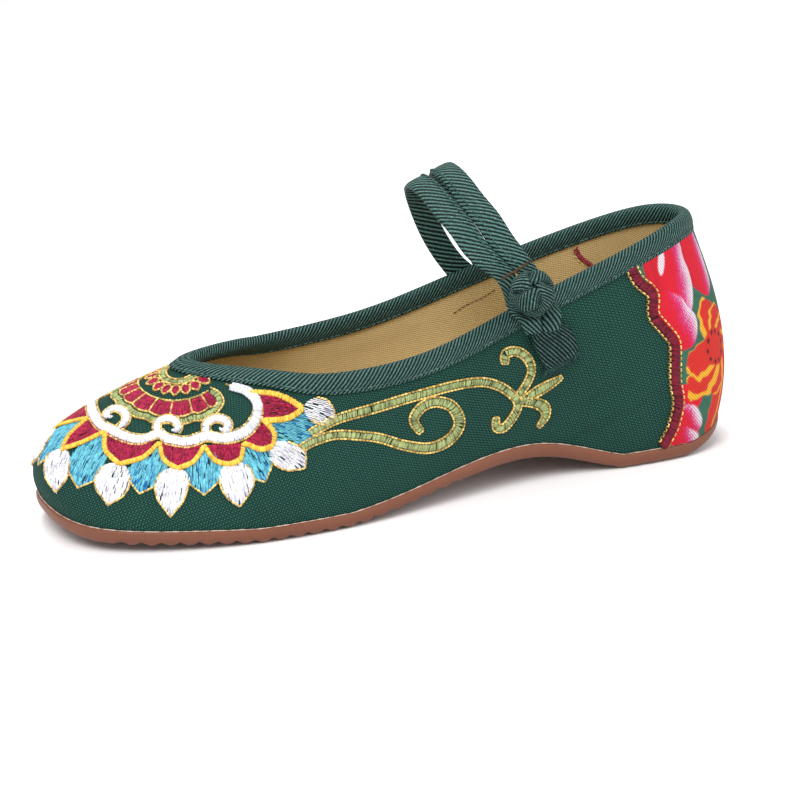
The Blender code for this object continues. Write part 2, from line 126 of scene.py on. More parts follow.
# %% Hang the lights
bpy.context.scene.view_settings.view_transform = "Standard"
WORLD_LIGHT = 0.75
LIGHTS = (
    # name, place, aimed at, width, watts
    ("key light", (-0.55, -0.75, 1.05), (0.02, 0.0, 0.03), 0.75, 17.0),
    ("fill light", (0.85, -0.85, 0.55), (0.05, 0.0, 0.04), 0.90, 5.0),
    ("top light", (0.05, 0.45, 1.20), (0.03, 0.0, 0.03), 0.60, 9.0),
)


def set_studio():
    world = bpy.data.worlds.new("studio")
    world.use_nodes = True
    world.node_tree.nodes["Background"].inputs["Color"].default_value = (1, 1, 1, 1)
    world.node_tree.nodes["Background"].inputs["Strength"].default_value = WORLD_LIGHT
    bpy.context.scene.world = world
    for name, place, target, width, watts in LIGHTS:
        lamp = bpy.data.lights.new(name, "AREA")
        lamp.size = width
        lamp.energy = watts
        holder = add_object(name, lamp)
        holder.location = place
        aim = Vector(target) - Vector(place)
        holder.rotation_euler = aim.to_track_quat("-Z", "Y").to_euler()


set_studio()
print("lights:", ", ".join(row[0] for row in LIGHTS))

# %% [markdown]
# ## Writing shader maths as sums
# Woven cloth is a rule: threads at a fixed pitch pass over and under each other. Rules like that
# are easiest to read as ordinary sums, so one small class stands for a number in a shader, and
# each sum on it adds the Math node that does the work.


# %% A number in a shader
class Number:
    def __init__(self, paint, socket):
        self.paint = paint
        self.socket = socket

    def __add__(self, other):
        return self.paint.sums("ADD", self, other)

    __radd__ = __add__

    def __sub__(self, other):
        return self.paint.sums("SUBTRACT", self, other)

    def __rsub__(self, other):
        return self.paint.sums("SUBTRACT", other, self)

    def __mul__(self, other):
        return self.paint.sums("MULTIPLY", self, other)

    __rmul__ = __mul__

    def __truediv__(self, other):
        return self.paint.sums("DIVIDE", self, other)

    def __pow__(self, other):
        return self.paint.sums("POWER", self, other)

    def __abs__(self):
        return self.paint.sums("ABSOLUTE", self)

    def sine(self):
        return self.paint.sums("SINE", self)

    def larger(self, other):
        return self.paint.sums("MAXIMUM", self, other)

    def smaller(self, other):
        return self.paint.sums("MINIMUM", self, other)

    def clamped(self):
        return self.larger(0.0).smaller(1.0)


# %% A material that is being painted
class Paint:
    def __init__(self, name):
        self.material = bpy.data.materials.new(name)
        self.material.use_nodes = True
        self.tree = self.material.node_tree
        self.shader = self.tree.nodes["Principled BSDF"]

    def feed(self, socket, value):
        if isinstance(value, Number):
            value = value.socket
        if isinstance(value, bpy.types.NodeSocket):
            self.tree.links.new(value, socket)
        elif isinstance(value, tuple) and len(value) == 3 and socket.type == "RGBA":
            socket.default_value = (*value, 1.0)
        else:
            socket.default_value = value

    def node(self, kind, inputs=None, **settings):
        node = self.tree.nodes.new(kind)
        for name, value in settings.items():
            setattr(node, name, value)
        for name, value in (inputs or {}).items():
            self.feed(node.inputs[name], value)
        return node

    def sums(self, operation, *values):
        node = self.node("ShaderNodeMath", dict(enumerate(values)), operation=operation)
        return Number(self, node.outputs[0])

    def cloth_map(self):
        """The piece's own map, in millimetres across and along the cloth."""
        node = self.node("ShaderNodeSeparateXYZ", {0: self.node("ShaderNodeTexCoord").outputs["UV"]})
        return Number(self, node.outputs[0]), Number(self, node.outputs[1])

    def noise(self, scale, detail=2.0, place=None):
        place = place or self.node("ShaderNodeTexCoord").outputs["Object"]
        node = self.node("ShaderNodeTexNoise", {"Vector": place, "Scale": scale, "Detail": detail})
        return Number(self, node.outputs[0])

    def map_noise(self, across, along, detail=1.0):
        """Noise on the piece's own map: across and along are how many cells there are in a mm."""
        uv = self.node("ShaderNodeTexCoord").outputs["UV"]
        scaled = self.node("ShaderNodeMapping", {"Vector": uv, "Scale": (across, along, 1.0)})
        return self.noise(1.0, detail, scaled.outputs[0])

    def mix(self, factor, first, second):
        node = self.node("ShaderNodeMix", data_type="RGBA")
        self.feed(node.inputs[0], factor)
        self.feed(node.inputs[6], first)
        self.feed(node.inputs[7], second)
        return node.outputs[2]

    def bump(self, height, depth, under=None):
        node = self.node("ShaderNodeBump", {"Height": height, "Distance": depth, "Strength": 1.0})
        if under is not None:
            self.feed(node.inputs["Normal"], under)
        return node.outputs[0]

    def finish(self, colour, roughness, normal=None, **constants):
        self.feed(self.shader.inputs["Base Color"], colour)
        self.feed(self.shader.inputs["Roughness"], roughness)
        if normal is not None:
            self.feed(self.shader.inputs["Normal"], normal)
        for name, value in constants.items():
            self.feed(self.shader.inputs[name.replace("_", " ")], value)
        return self.material


# %% [markdown]
# ## Weaves
# In plain weave each thread goes over one and under one, which leaves a chequer of small
# rounded tops. In twill the overs shift by one each row, so they line up in slanting ribs.


# %% Plain weave and twill as heights
def plain_weave(u, v, pitch, row_pitch, weft_tone, power=0.8):
    """Rounded tops: the warp's where the product is positive, the darker weft's elsewhere. A low
    power makes them broad and flat."""
    over = (u * (math.pi / pitch)).sine() * (v * (math.pi / row_pitch)).sine()
    warp, weft = over.larger(0.0), (over * -1.0).larger(0.0)
    return (warp + weft * weft_tone) ** power


def twill(u, v, pitch, degrees, thread=0.42, sharp=3.2):
    cos, sin = math.cos(math.radians(degrees)), math.sin(math.radians(degrees))
    rib = abs(((u * cos + v * sin) * (math.pi / pitch)).sine()) ** sharp
    cross = abs(((v * cos - u * sin) * (math.pi / thread)).sine())
    return rib * (0.62 + 0.38 * cross)


# %% [markdown]
# ## Cloth finishes
# Cotton has little gloss. Its colour comes from thread tops that catch light and gaps that don't,
# so each finish mixes a gap colour and a top colour by the height of its weave, and is a little
# uneven where dye took differently. On the shinier tape a pale painted highlight is mixed onto
# some tops.

# %% Paint the woven cloths
CANVAS_PITCH = (0.82, 0.76)
BINDING_PITCH = 1.12
STRAP_PITCH = 1.38
LINING_PITCH = (0.50, 0.68)
DYE_SPREAD = 0.14


def woven(name, height_of, gap, top, depth, roughness=0.8, gloss=0.15, slubs=0.8, painted_glint=None):
    paint = Paint(name)
    u, v = paint.cloth_map()
    wander = (paint.noise(420.0) - 0.5) * 0.12
    height = height_of(u + wander, v + wander)
    slub = paint.map_noise(0.35, 3.0) * 0.5 + paint.map_noise(3.0, 0.35) * 0.5
    level = (height * (1.0 - slubs / 2 + slubs * slub)).clamped()
    colour = paint.mix(level, gap, top)
    # painted highlight: a pale colour mixed onto some thread tops at random
    if painted_glint:
        painted_glint_mask = ((paint.map_noise(2.4, 2.4, 2.0) - 0.52) * 7.0).clamped() * level
        colour = paint.mix(painted_glint_mask, colour, painted_glint)
    shade = (paint.noise(38.0, 3.0) - 0.5) * (2 * DYE_SPREAD) + 1.0 - DYE_SPREAD
    colour = paint.mix(shade.clamped(), tuple(c * 0.5 for c in gap), colour)
    normal = paint.bump(level, depth)
    return paint.finish(colour, roughness, normal, Specular_IOR_Level=gloss)


def tape_twill(name, pitch, degrees, gap=(0.0004, 0.0020, 0.0020), top=(0.100, 0.240, 0.210)):
    return woven(
        name, lambda u, v: twill(u, v, pitch, degrees), gap, top, 0.00050,
        roughness=0.5, gloss=0.07, slubs=1.7, painted_glint=(0.27, 0.43, 0.40),
    )


canvas_cloth = woven(
    "green canvas", lambda u, v: plain_weave(u, v, *CANVAS_PITCH, 0.4),
    (0.0004, 0.0050, 0.0036), (0.0300, 0.1500, 0.1130), 0.00036,
)
lining_cloth = woven(
    "cream lining", lambda u, v: plain_weave(u, v, *LINING_PITCH, 0.5, 0.45),
    (0.30, 0.175, 0.050), (1.0, 0.77, 0.38), 0.00026,
)
twill_tape = tape_twill("green twill tape", BINDING_PITCH, 54)
strap_tape = tape_twill("green strap twill", STRAP_PITCH, 43)
knot_tape = tape_twill("green knot twill", 0.80, 64, top=(0.090, 0.205, 0.182))
tab_tape = tape_twill("green tab twill", 1.05, 160, top=(0.050, 0.125, 0.115))
print("weaves:", CANVAS_PITCH, BINDING_PITCH, STRAP_PITCH, LINING_PITCH, "mm")

# %% [markdown]
# ## Thread finishes
# Embroidery thread is spun to shine. The stitches here are real strands, so the finish only
# needs the colour, a soft gloss, small changes from one strand to the next and painted shadow at
# the ends where each strand dips into the cloth.


# %% Paint the threads
def thread(name, dark, light, roughness=0.42):
    """Each strand carries its own random tone from 0 to 1, and painted shadow darkens its ends,
    where it dips into the cloth.
    """
    paint = Paint(name)
    strand = paint.noise(900.0, 1.0)
    own = Number(paint, paint.node("ShaderNodeAttribute", attribute_name="shade").outputs["Fac"])
    level = (own + (strand - 0.5) * 0.7).clamped()
    return paint.finish(
        paint.mix(level, dark, light), roughness, paint.bump(strand, 0.00005), Specular_IOR_Level=0.22,
    )


THREADS = {
    "white": thread("white thread", (0.38, 0.38, 0.44), (0.84, 0.83, 0.83)),
    "lavender": thread("lavender thread", (0.20, 0.21, 0.32), (0.60, 0.60, 0.70)),
    "blue": thread("blue thread", (0.014, 0.140, 0.24), (0.160, 0.525, 0.62)),
    "deep blue": thread("deep blue thread", (0.004, 0.035, 0.14), (0.02, 0.20, 0.46)),
    "red": thread("red thread", (0.080, 0.0010, 0.012), (0.41, 0.010, 0.058)),
    "deep red": thread("deep red thread", (0.022, 0.0004, 0.003), (0.195, 0.003, 0.022)),
    "yellow": thread("yellow thread", (0.44, 0.22, 0.012), (0.86, 0.58, 0.085)),
    "gold": thread("gold thread", (0.10, 0.045, 0.005), (0.82, 0.58, 0.18), 0.36),
    "sage": thread("sage thread", (0.012, 0.022, 0.004), (0.38, 0.44, 0.18), 0.36),
    "green": thread("green sewing thread", (0.001, 0.008, 0.008), (0.035, 0.11, 0.10)),
    "pale green": thread("pale green sewing thread", (0.006, 0.022, 0.020), (0.11, 0.20, 0.18)),
    "brown": thread("brown sewing thread", (0.030, 0.010, 0.005), (0.13, 0.060, 0.028)),
}
print("threads:", ", ".join(THREADS))

# %% [markdown]
# ## The last, as a table of sections
# A shoe is built round a last, so the whole shape is one table: a row for each section from the
# back of the heel, along the outer side to the toe, and back along the inner side. A smooth
# closed curve through the rows gives any section between them.

# %% The table of sections
SHOE_LENGTH = 0.245
HALF_BALL = 0.041
COLLAR_HEIGHT = 0.0805
TOE_SPRING = 0.0065
SOLE_EDGE = 0.0052
BINDING_OUTSIDE = 0.0078
CLEARANCE = 0.0003
BALL_ALONG = 0.355
COLUMNS = (
    "sole_along", "sole_side", "lift", "bed",
    "collar_along", "collar_side", "collar_up", "rise", "bulge", "reach", "drop",
)
TABLE = np.array((
    (1.002, 0.00, 1.08, 1.00, 0.967, 0.00, 1.000, 0.36, 0.19, 0.140, 0.225),
    (0.963, -0.51, 0.40, 1.00, 0.939, -0.29, 0.995, 0.34, 0.17, 0.093, 0.237),
    (0.841, -0.65, -0.16, 0.97, 0.845, -0.55, 0.927, 0.35, 0.07, 0.044, 0.225),
    (0.690, -0.68, 1.36, 0.84, 0.673, -0.68, 0.770, 0.25, 0.05, 0.050, 0.187),
    (0.510, -0.89, 0.60, 0.60, 0.539, -0.77, 0.644, 0.20, 0.07, 0.050, 0.150),
    (0.355, -1.03, -0.10, 0.40, 0.416, -0.69, 0.595, 0.175, 0.07, 0.095, 0.125),
    (0.206, -0.97, 0.20, 0.42, 0.345, -0.47, 0.601, 0.16, 0.07, 0.200, 0.066),
    (0.076, -0.62, 0.50, 0.52, 0.293, -0.25, 0.613, 0.17, 0.11, 0.480, 0.115),
    (0.040, 0.03, 0.86, 0.60, 0.249, 0.01, 0.628, 0.27, 0.25, 0.660, 0.107),
    (0.076, 0.66, 0.50, 0.52, 0.293, 0.27, 0.625, 0.17, 0.11, 0.480, 0.120),
    (0.206, 0.93, 0.20, 0.42, 0.345, 0.48, 0.610, 0.16, 0.07, 0.200, 0.066),
    (0.355, 0.93, -0.10, 0.40, 0.416, 0.71, 0.595, 0.175, 0.07, 0.095, 0.125),
    (0.510, 0.78, 0.60, 0.60, 0.539, 0.73, 0.640, 0.20, 0.07, 0.050, 0.150),
    (0.690, 0.62, 1.36, 0.84, 0.673, 0.67, 0.757, 0.25, 0.05, 0.050, 0.187),
    (0.841, 0.63, -0.16, 0.97, 0.845, 0.53, 0.913, 0.35, 0.07, 0.044, 0.225),
    (0.963, 0.47, 0.40, 1.00, 0.939, 0.27, 0.995, 0.34, 0.17, 0.093, 0.237),
))
SECTIONS = len(TABLE)
TOE = SECTIONS / 2


def slopes_of(table):
    count = len(table)
    ring = np.arange(count)
    left = np.zeros((count, count))
    left[ring, ring] = 4
    left[ring, (ring + 1) % count] = 1
    left[ring, (ring - 1) % count] = 1
    return np.linalg.solve(left, 3 * (np.roll(table, -1, axis=0) - np.roll(table, 1, axis=0)))


SLOPES = slopes_of(TABLE)
print(SECTIONS, "sections, shoe length", SHOE_LENGTH / MM, "mm")

# %% [markdown]
# ## From the table to the cloth's face
# At each section the wall is one curve from the sole to the opening. These functions take whole
# arrays of places at once, so thousands of stitches can be set on the cloth in one go.


# %% Places on the last
def section(t):
    t = np.asarray(t, dtype=float)
    row = np.floor(t).astype(int)
    f = (t - row)[..., None]
    first, after = row % SECTIONS, (row + 1) % SECTIONS
    values = (
        (2 * f**3 - 3 * f**2 + 1) * TABLE[first] + (f**3 - 2 * f**2 + f) * SLOPES[first]
        + (3 * f**2 - 2 * f**3) * TABLE[after] + (f**3 - f**2) * SLOPES[after]
    )
    return dict(zip(COLUMNS, np.moveaxis(values, -1, 0)))


def place(x, y, z):
    return np.stack(np.broadcast_arrays(x, y, z), -1).astype(float)


def unit(vectors):
    return vectors / np.maximum(np.linalg.norm(vectors, axis=-1, keepdims=True), 1e-12)


def x_of(along):
    return (along - BALL_ALONG) * SHOE_LENGTH


def sole_bottom(t):
    s = section(t)
    return place(x_of(s["sole_along"]), s["sole_side"] * HALF_BALL, np.maximum(0, s["lift"]) * TOE_SPRING)


def outward(t):
    along = sole_bottom(t + 0.02) - sole_bottom(t - 0.02)
    return unit(place(-along[..., 1], along[..., 0], 0 * along[..., 0]))


UP = np.array((0.0, 0.0, 1.0))


def last_skin(t, w):
    """The cloth's outer face as lasted: w is 0 at the sole and 1 at the opening."""
    t, w = np.broadcast_arrays(np.asarray(t, float), np.asarray(w, float))
    s = {name: values[..., None] for name, values in section(t).items()}
    out = outward(t)
    start = sole_bottom(t) + UP * (SOLE_EDGE + CLEARANCE)
    end = np.concatenate(
        [x_of(s["collar_along"]), s["collar_side"] * HALF_BALL, s["collar_up"] * COLLAR_HEIGHT], -1)
    leave = start + UP * s["rise"] * COLLAR_HEIGHT + out * s["bulge"] * HALF_BALL
    arrive = end + out * s["reach"] * HALF_BALL - UP * s["drop"] * COLLAR_HEIGHT
    w = w[..., None]
    v = 1 - w
    return start * v**3 + leave * (3 * v**2 * w) + arrive * (3 * v * w**2) + end * w**3


def last_normal(t, w):
    t, w = np.broadcast_arrays(np.asarray(t, float), np.asarray(w, float))
    low, high = np.maximum(0, w - 0.01), np.minimum(1, w + 0.01)
    up_wall = last_skin(t, high) - last_skin(t, low)
    round_wall = last_skin(t + 0.01, w) - last_skin(t - 0.01, w)
    return unit(np.cross(up_wall, round_wall))


# %% [markdown]
# ## How far down the wall
# Tape widths and stitches are measured along the cloth, so one more table turns a distance
# below the opening into a place on the wall.

# %% Distances along the wall
STEP_T = 0.05
TABLE_T = np.arange(0, SECTIONS + STEP_T / 2, STEP_T)
TABLE_W = np.linspace(0, 1, 101)
WALL_GRID = last_skin(TABLE_T[:, None], TABLE_W[None, :])
LEGS = np.linalg.norm(np.diff(WALL_GRID, axis=1), axis=2)
TO_COLLAR = np.concatenate([np.cumsum(LEGS[:, ::-1], 1)[:, ::-1], np.zeros((len(TABLE_T), 1))], 1)
STEP_D = 0.0005
TABLE_D = np.arange(0, 0.11, STEP_D)
W_AT = np.array([np.interp(TABLE_D, row[::-1], TABLE_W[::-1]) for row in TO_COLLAR])


def between(table, t, column):
    """A value between the entries of a table that has a row each STEP_T."""
    t = np.mod(np.asarray(t, float), SECTIONS) / STEP_T
    row = np.minimum(t.astype(int), len(TABLE_T) - 2)
    column = np.clip(column, 0, table.shape[1] - 1.001)
    cell = column.astype(int)
    f, g = t - row, column - cell
    return (
        (table[row, cell] * (1 - g) + table[row, cell + 1] * g) * (1 - f)
        + (table[row + 1, cell] * (1 - g) + table[row + 1, cell + 1] * g) * f
    )


def w_below(t, distance):
    t, distance = np.broadcast_arrays(np.asarray(t, float), np.asarray(distance, float))
    return between(W_AT, t, np.maximum(distance, 0) / STEP_D)


def distance_below(t, w):
    t, w = np.broadcast_arrays(np.asarray(t, float), np.asarray(w, float))
    return between(TO_COLLAR, t, w * (len(TABLE_W) - 1))


# %% [markdown]
# ## How the cloth lies
# Lasted canvas is never perfectly even. It draws in a little under the binding, where the tape
# is stretched, and small gathers stand along the sole at the toe, where the flat cloth was eased
# round the curve. These are soft troughs and ridges of a fraction of a millimetre.

# %% Creases
CREASES = (
    # ring position, distance below the opening (mm), length round, length down (mm), depth (mm)
    (4.15, 24.0, 0.28, 9.0, -0.35), (3.35, 30.0, 0.20, 12.0, -0.30), (2.65, 20.0, 0.16, 10.0, 0.25),
    (5.35, 33.0, 0.22, 7.0, 0.28), (11.9, 25.0, 0.26, 9.0, -0.35), (12.7, 30.0, 0.20, 12.0, -0.30),
    (13.4, 21.0, 0.16, 10.0, 0.25), (3.9, 11.5, 0.90, 3.0, -0.35), (12.1, 11.5, 0.90, 3.0, -0.35),
    (2.35, 45.0, 0.40, 3.0, -0.50), (2.20, 50.5, 0.40, 3.0, 0.45), (2.45, 55.0, 0.45, 3.0, -0.45),
)
GATHERS = 0.00014


def relief(t, w):
    down = distance_below(t, w) / MM
    lift = np.zeros(np.shape(down))
    for at, depth_down, round_length, down_length, depth in CREASES:
        away = ((t - at) / round_length) ** 2 + ((down - depth_down) / down_length) ** 2
        lift += depth * MM * np.exp(-away)
    near_toe = np.exp(-(((np.mod(t, SECTIONS) - TOE) / 1.7) ** 2))
    low = np.exp(-((w / 0.09) ** 2))
    return lift + GATHERS * near_toe * low * np.sin(t * 74 + 2 * np.sin(t * 9))


def cloth(t, w, offset=0.0):
    t, w = np.broadcast_arrays(np.asarray(t, float), np.asarray(w, float))
    return last_skin(t, w) + last_normal(t, w) * np.asarray(offset + relief(t, w))[..., None]


def wall(t, distance, offset=0.0):
    """A place at a distance below the opening. Above it, the place carries straight on."""
    t, distance, offset = np.broadcast_arrays(*(np.asarray(a, float) for a in (t, distance, offset)))
    w = w_below(t, distance)
    straight_on = unit(last_skin(t, np.ones(t.shape)) - last_skin(t, np.full(t.shape, 0.97)))
    return cloth(t, w, offset) + straight_on * np.maximum(0, -distance)[..., None]


print("wall tables:", W_AT.shape, "deepest wall", round(float(TO_COLLAR.max() / MM), 1), "mm")

# %% [markdown]
# ## Turning grids of places into cloth
# Most pieces are grids of places, closed round the shoe or round their own section. One
# function makes the mesh, and one its map in millimetres, so that a weave keeps its real pitch.


# %% Mesh helpers
def grid_piece(name, points, paint, uv, ring=False, tube=False, cap=False):
    rows, columns = points.shape[:2]
    i, j = np.meshgrid(
        np.arange(rows if ring else rows - 1), np.arange(columns if tube else columns - 1), indexing="ij")
    below, beside = (i + 1) % rows, (j + 1) % columns
    here, under = i * columns, below * columns
    faces = np.stack([here + j, here + beside, under + beside, under + j], -1).reshape(-1, 4).tolist()
    if cap:
        faces.append(list(range(columns - 1, -1, -1)))
        faces.append(list(range((rows - 1) * columns, rows * columns)))
    mesh = bpy.data.meshes.new(name)
    mesh.from_pydata(points.reshape(-1, 3).tolist(), [], faces)
    corners = np.stack([uv[i, j], uv[i, j + 1], uv[i + 1, j + 1], uv[i + 1, j]], 2).reshape(-1, 2)
    layer = mesh.uv_layers.new(name="cloth")
    flat = np.zeros(2 * len(mesh.loops))
    flat[:corners.size] = corners.ravel()
    layer.data.foreach_set("uv", flat)
    mesh.materials.append(paint)
    graph = bmesh.new()
    graph.from_mesh(mesh)
    bmesh.ops.remove_doubles(graph, verts=graph.verts, dist=1e-7)
    if graph.calc_volume(signed=True) < 0:
        bmesh.ops.reverse_faces(graph, faces=graph.faces)
    graph.to_mesh(mesh)
    graph.free()
    mesh.shade_smooth()
    return add_object(name, mesh)


def map_of(points, ring=False, tube=False):
    """Millimetres along the rows and columns of a grid, measured on the grid itself."""
    around = np.concatenate([points, points[:1]]) if ring else points
    steps = np.linalg.norm(np.diff(around, axis=0), axis=2).mean(1)
    v = np.concatenate([[0], np.cumsum(steps)]) / MM
    across = np.concatenate([points, points[:, :1]], 1) if tube else points
    steps = np.linalg.norm(np.diff(across, axis=1), axis=2).mean(0)
    u = np.concatenate([[0], np.cumsum(steps)]) / MM
    return np.stack(np.meshgrid(u, v), -1)


def hand_over(obj, slot, *nodes):
    """Hides the imported parts that a finished piece stands for, puts it under the root and
    prints its size.
    """
    if nodes:
        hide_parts(*nodes)
    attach(obj, "root")
    print(obj.name, len(obj.data.polygons), "faces")


def make_piece(name, points, paint, slot, *nodes, uv=None, ring=False, tube=True, cap=False):
    """Makes a piece, with a map measured on its own grid unless one is given, and hands it over."""
    uv = map_of(points, ring, tube) if uv is None else uv
    hand_over(grid_piece(name, points, paint, uv, ring, tube, cap), slot, *nodes)


def ring_positions(count):
    return np.arange(count) * SECTIONS / count


# %% [markdown]
# ## The canvas upper and its lining
# The real upper is two cloths glued back to back: green canvas outside and plain cream cotton
# inside. Each is its own closed shell, and the canvas is folded under at the sole. The map runs
# round the shoe and down the wall, turned a little at each section: cloth is cut flat, so its rows
# of threads run straight on at the sides and don't follow the rising edge of the opening.

# %% Make the canvas and the lining
GRAIN_TURN = (
    # ring position, how far the rows turn away from the opening's edge (degrees)
    (0.0, 32.0), (2.8, 32.0), (5.0, 10.0), (6.5, 0.0), (9.5, 0.0), (11.0, -10.0), (13.2, -32.0),
    (16.0, -32.0))

SHELL_TOP = 0.0012
TUCKED_UNDER = 0.0007
TUCK_ON_MAP = 0.8
BELT = 0.42
LINING_BOTTOM = 0.04


def wall_shell(outer, inner, bottom, steps, rows):
    """A shell between two offsets from the face. A bottom of 0 is tucked under at the sole."""
    t = ring_positions(steps)[:, None]
    high = w_below(t, np.full(t.shape, SHELL_TOP))
    share = np.linspace(0, 1, rows)[None, :]
    w = bottom + (high - bottom) * share
    out_face = cloth(t, w, outer)
    in_face = cloth(t, w, inner)[:, ::-1]
    if bottom == 0:
        tuck = cloth(t, w[:, :1], outer - 0.0004) - UP * TUCKED_UNDER
        tuck_in = cloth(t, w[:, :1], inner) - UP * TUCKED_UNDER
        points = np.concatenate([tuck, out_face, in_face, tuck_in], 1)
    else:
        points = np.concatenate([out_face, in_face], 1)
    belt = last_skin(ring_positions(steps), np.full(steps, BELT))
    legs = np.linalg.norm(belt - np.roll(belt, 1, axis=0), axis=1)
    u = np.concatenate([[0], np.cumsum(np.roll(legs, -1))]) / MM
    v = distance_below(t, w) / MM
    columns = [v, v[:, ::-1]]
    if bottom == 0:
        columns = [v[:, :1] + TUCK_ON_MAP, *columns, v[:, :1] + TUCK_ON_MAP]
    v = np.concatenate(columns, 1)
    v = np.concatenate([v, v[:, :1]], 1)
    v = np.concatenate([v, v[:1]], 0)
    turn = np.radians(np.interp(np.linspace(0, SECTIONS, steps + 1), *zip(*GRAIN_TURN)))
    leg = np.diff(u, prepend=0.0)
    along, down = np.cumsum(leg * np.cos(turn)), np.cumsum(leg * np.sin(turn))
    uv = np.stack([
        along[:, None] - v * np.sin(turn)[:, None], down[:, None] + v * np.cos(turn)[:, None]], -1)
    return points, uv


points, uv = wall_shell(0.0, -0.0009, 0.0, 512, 56)
make_piece("canvas_upper", points, canvas_cloth, "green canvas", "upper", uv=uv, ring=True)
points, uv = wall_shell(-0.00095, -0.0016, LINING_BOTTOM, 384, 36)
make_piece("lining", points, lining_cloth, "cream lining", uv=uv, ring=True)

# %% [markdown]
# ## The binding
# The opening is bound with twill tape, folded over the raw edge and sewn through. Its section is
# drawn once, as distances below the opening and offsets from the cloth, and carried round.

# %% Make the binding
BINDING_SECTION = (
    # distance below the opening, offset out of the cloth's face (mm)
    (7.00, 0.15), (7.20, 0.55), (7.00, 0.95), (6.6, 1.08), (6.05, 0.80), (5.5, 1.20), (4.7, 1.50),
    (3.6, 1.65), (2.0, 1.58), (0.9, 1.30), (0.2, 0.80), (-0.15, 0.10), (-0.25, -0.80), (-0.15, -1.65),
    (0.2, -2.30), (0.9, -2.75), (2.2, -3.05), (4.0, -3.00), (4.9, -2.75), (5.4, -2.50), (5.9, -2.72),
    (6.3, -2.45), (6.25, -2.10), (3.0, -1.90), (0.9, -1.85), (0.75, 0.12), (3.5, 0.15),
)


def binding_offset(t, offset):
    """The tape puckers a little where it is pulled round the throat."""
    pull = 0.08 * np.sin(t * 61) * np.exp(-(((np.mod(t, SECTIONS) - TOE) / 0.8) ** 2))
    return offset * MM + np.where(offset > 0.3, pull * MM, 0)


t = ring_positions(640)[:, None]
distances, offsets = (column[None, :] for column in np.array(BINDING_SECTION).T)
points = wall(t, distances * MM, binding_offset(t, offsets))
make_piece("binding", points, twill_tape, "green twill tape", "topline_binding", ring=True)

# %% [markdown]
# ## The rubber sole
# The unit sole is amber rubber, a little see-through at its edge, with wavy ribs underneath that
# show as scallops along its side. Loops of places run round the outline and close on a line
# down the middle, so toe and heel stay round.

# %% Shape the sole
RIB_PITCH = 0.0056
RIB_DEPTH = 0.0011
FOREFOOT_RIBS = (0.0835, 0.5835)
HEEL_RIBS = (0.78, 0.955)
RIBS_END, RIBS_FADE = 0.36, 0.30
WAVE_DEPTH, WAVE_LENGTH = 0.0009, 0.012
SOLE_SIDE = (
    # out from the lower outline (mm), height as a share of the sole's edge
    (-3.2, 1.00), (0.45, 1.00), (0.80, 0.96), (0.93, 0.88), (0.90, 0.62), (0.55, 0.38), (-0.10, 0.20),
    (-0.95, 0.06), (-2.2, 0.0),
)


def middle_line(x):
    """The sole's middle at x: across, and the height of its underside."""
    low = sole_bottom(ring_positions(800))
    sides = [side[np.argsort(side[:, 0])].T for side in (low[:401], np.concatenate([low[400:], low[:1]]))]
    return [0.5 * sum(np.interp(x, side[0], side[k]) for side in sides) for k in (1, 2)]


def spine_reach(x, from_toe, from_heel):
    """The middle line's x beside each place: it stops short of the toe and of the heel."""
    return np.clip(x, x.min() + from_toe, x.max() - from_heel)


def rib_depth(x):
    """How deep the tread is cut at x: rounded ribs of RIB_PITCH, with flat tops."""
    along = x / SHOE_LENGTH + BALL_ALONG
    depth = np.zeros(np.shape(x))
    for (first, last), deep in ((FOREFOOT_RIBS, 1.0), (HEEL_RIBS, 0.35)):
        count = int((last - first) * SHOE_LENGTH / RIB_PITCH)
        pitch = (last - first) / count
        phase = np.mod(along - first, pitch) / pitch
        groove = deep * (1 - np.abs(np.sin(np.pi * (phase + 0.095))))
        fade = np.clip((along - first) / 0.01, 0, 1) * np.clip((last - along) / 0.01, 0, 1)
        depth = np.maximum(depth, groove * fade)
    return depth * RIB_DEPTH


t = ring_positions(960)
low, out = sole_bottom(t), outward(t)
side = np.array(SOLE_SIDE)
edge = (
    low[:, None] + out[:, None] * (side[:, 0] * MM)[None, :, None]
    + UP * (side[:, 1] * SOLE_EDGE)[None, :, None]
)
spine_x = spine_reach(low[:, 0], 0.030, 0.027)
spine_y, spine_z = middle_line(spine_x)
spine = place(spine_x, spine_y, spine_z)
shares = np.linspace(0, 1, 14)[1:, None, None]
under = edge[None, :, -1] * (1 - shares) + spine[None] * shares
over = edge[None, :, 0] * (1 - shares) + (spine + UP * SOLE_EDGE)[None] * shares
points = np.concatenate([over[::-1].transpose(1, 0, 2), edge, under.transpose(1, 0, 2)], 1)
above_ground = (points[..., 2] - low[:, None, 2]) / SOLE_EDGE
lowness = np.clip((RIBS_END - above_ground) / RIBS_FADE, 0, 1)
wave = WAVE_DEPTH * np.sin(points[..., 1] / WAVE_LENGTH)
points[..., 2] += rib_depth(points[..., 0] + wave) * lowness
ribbed_sole = grid_piece("rubber_sole", points, None, map_of(points, True), ring=True)
print("sole length", round(float((points[..., 0].max() - points[..., 0].min()) / MM), 1), "mm")

# %% [markdown]
# ## Rubber
# The rubber is a warm brown that varies in soft clouds, and lets a little light in. It has a
# fine pebble and an uneven gloss, and dust gathers on it near the ground.

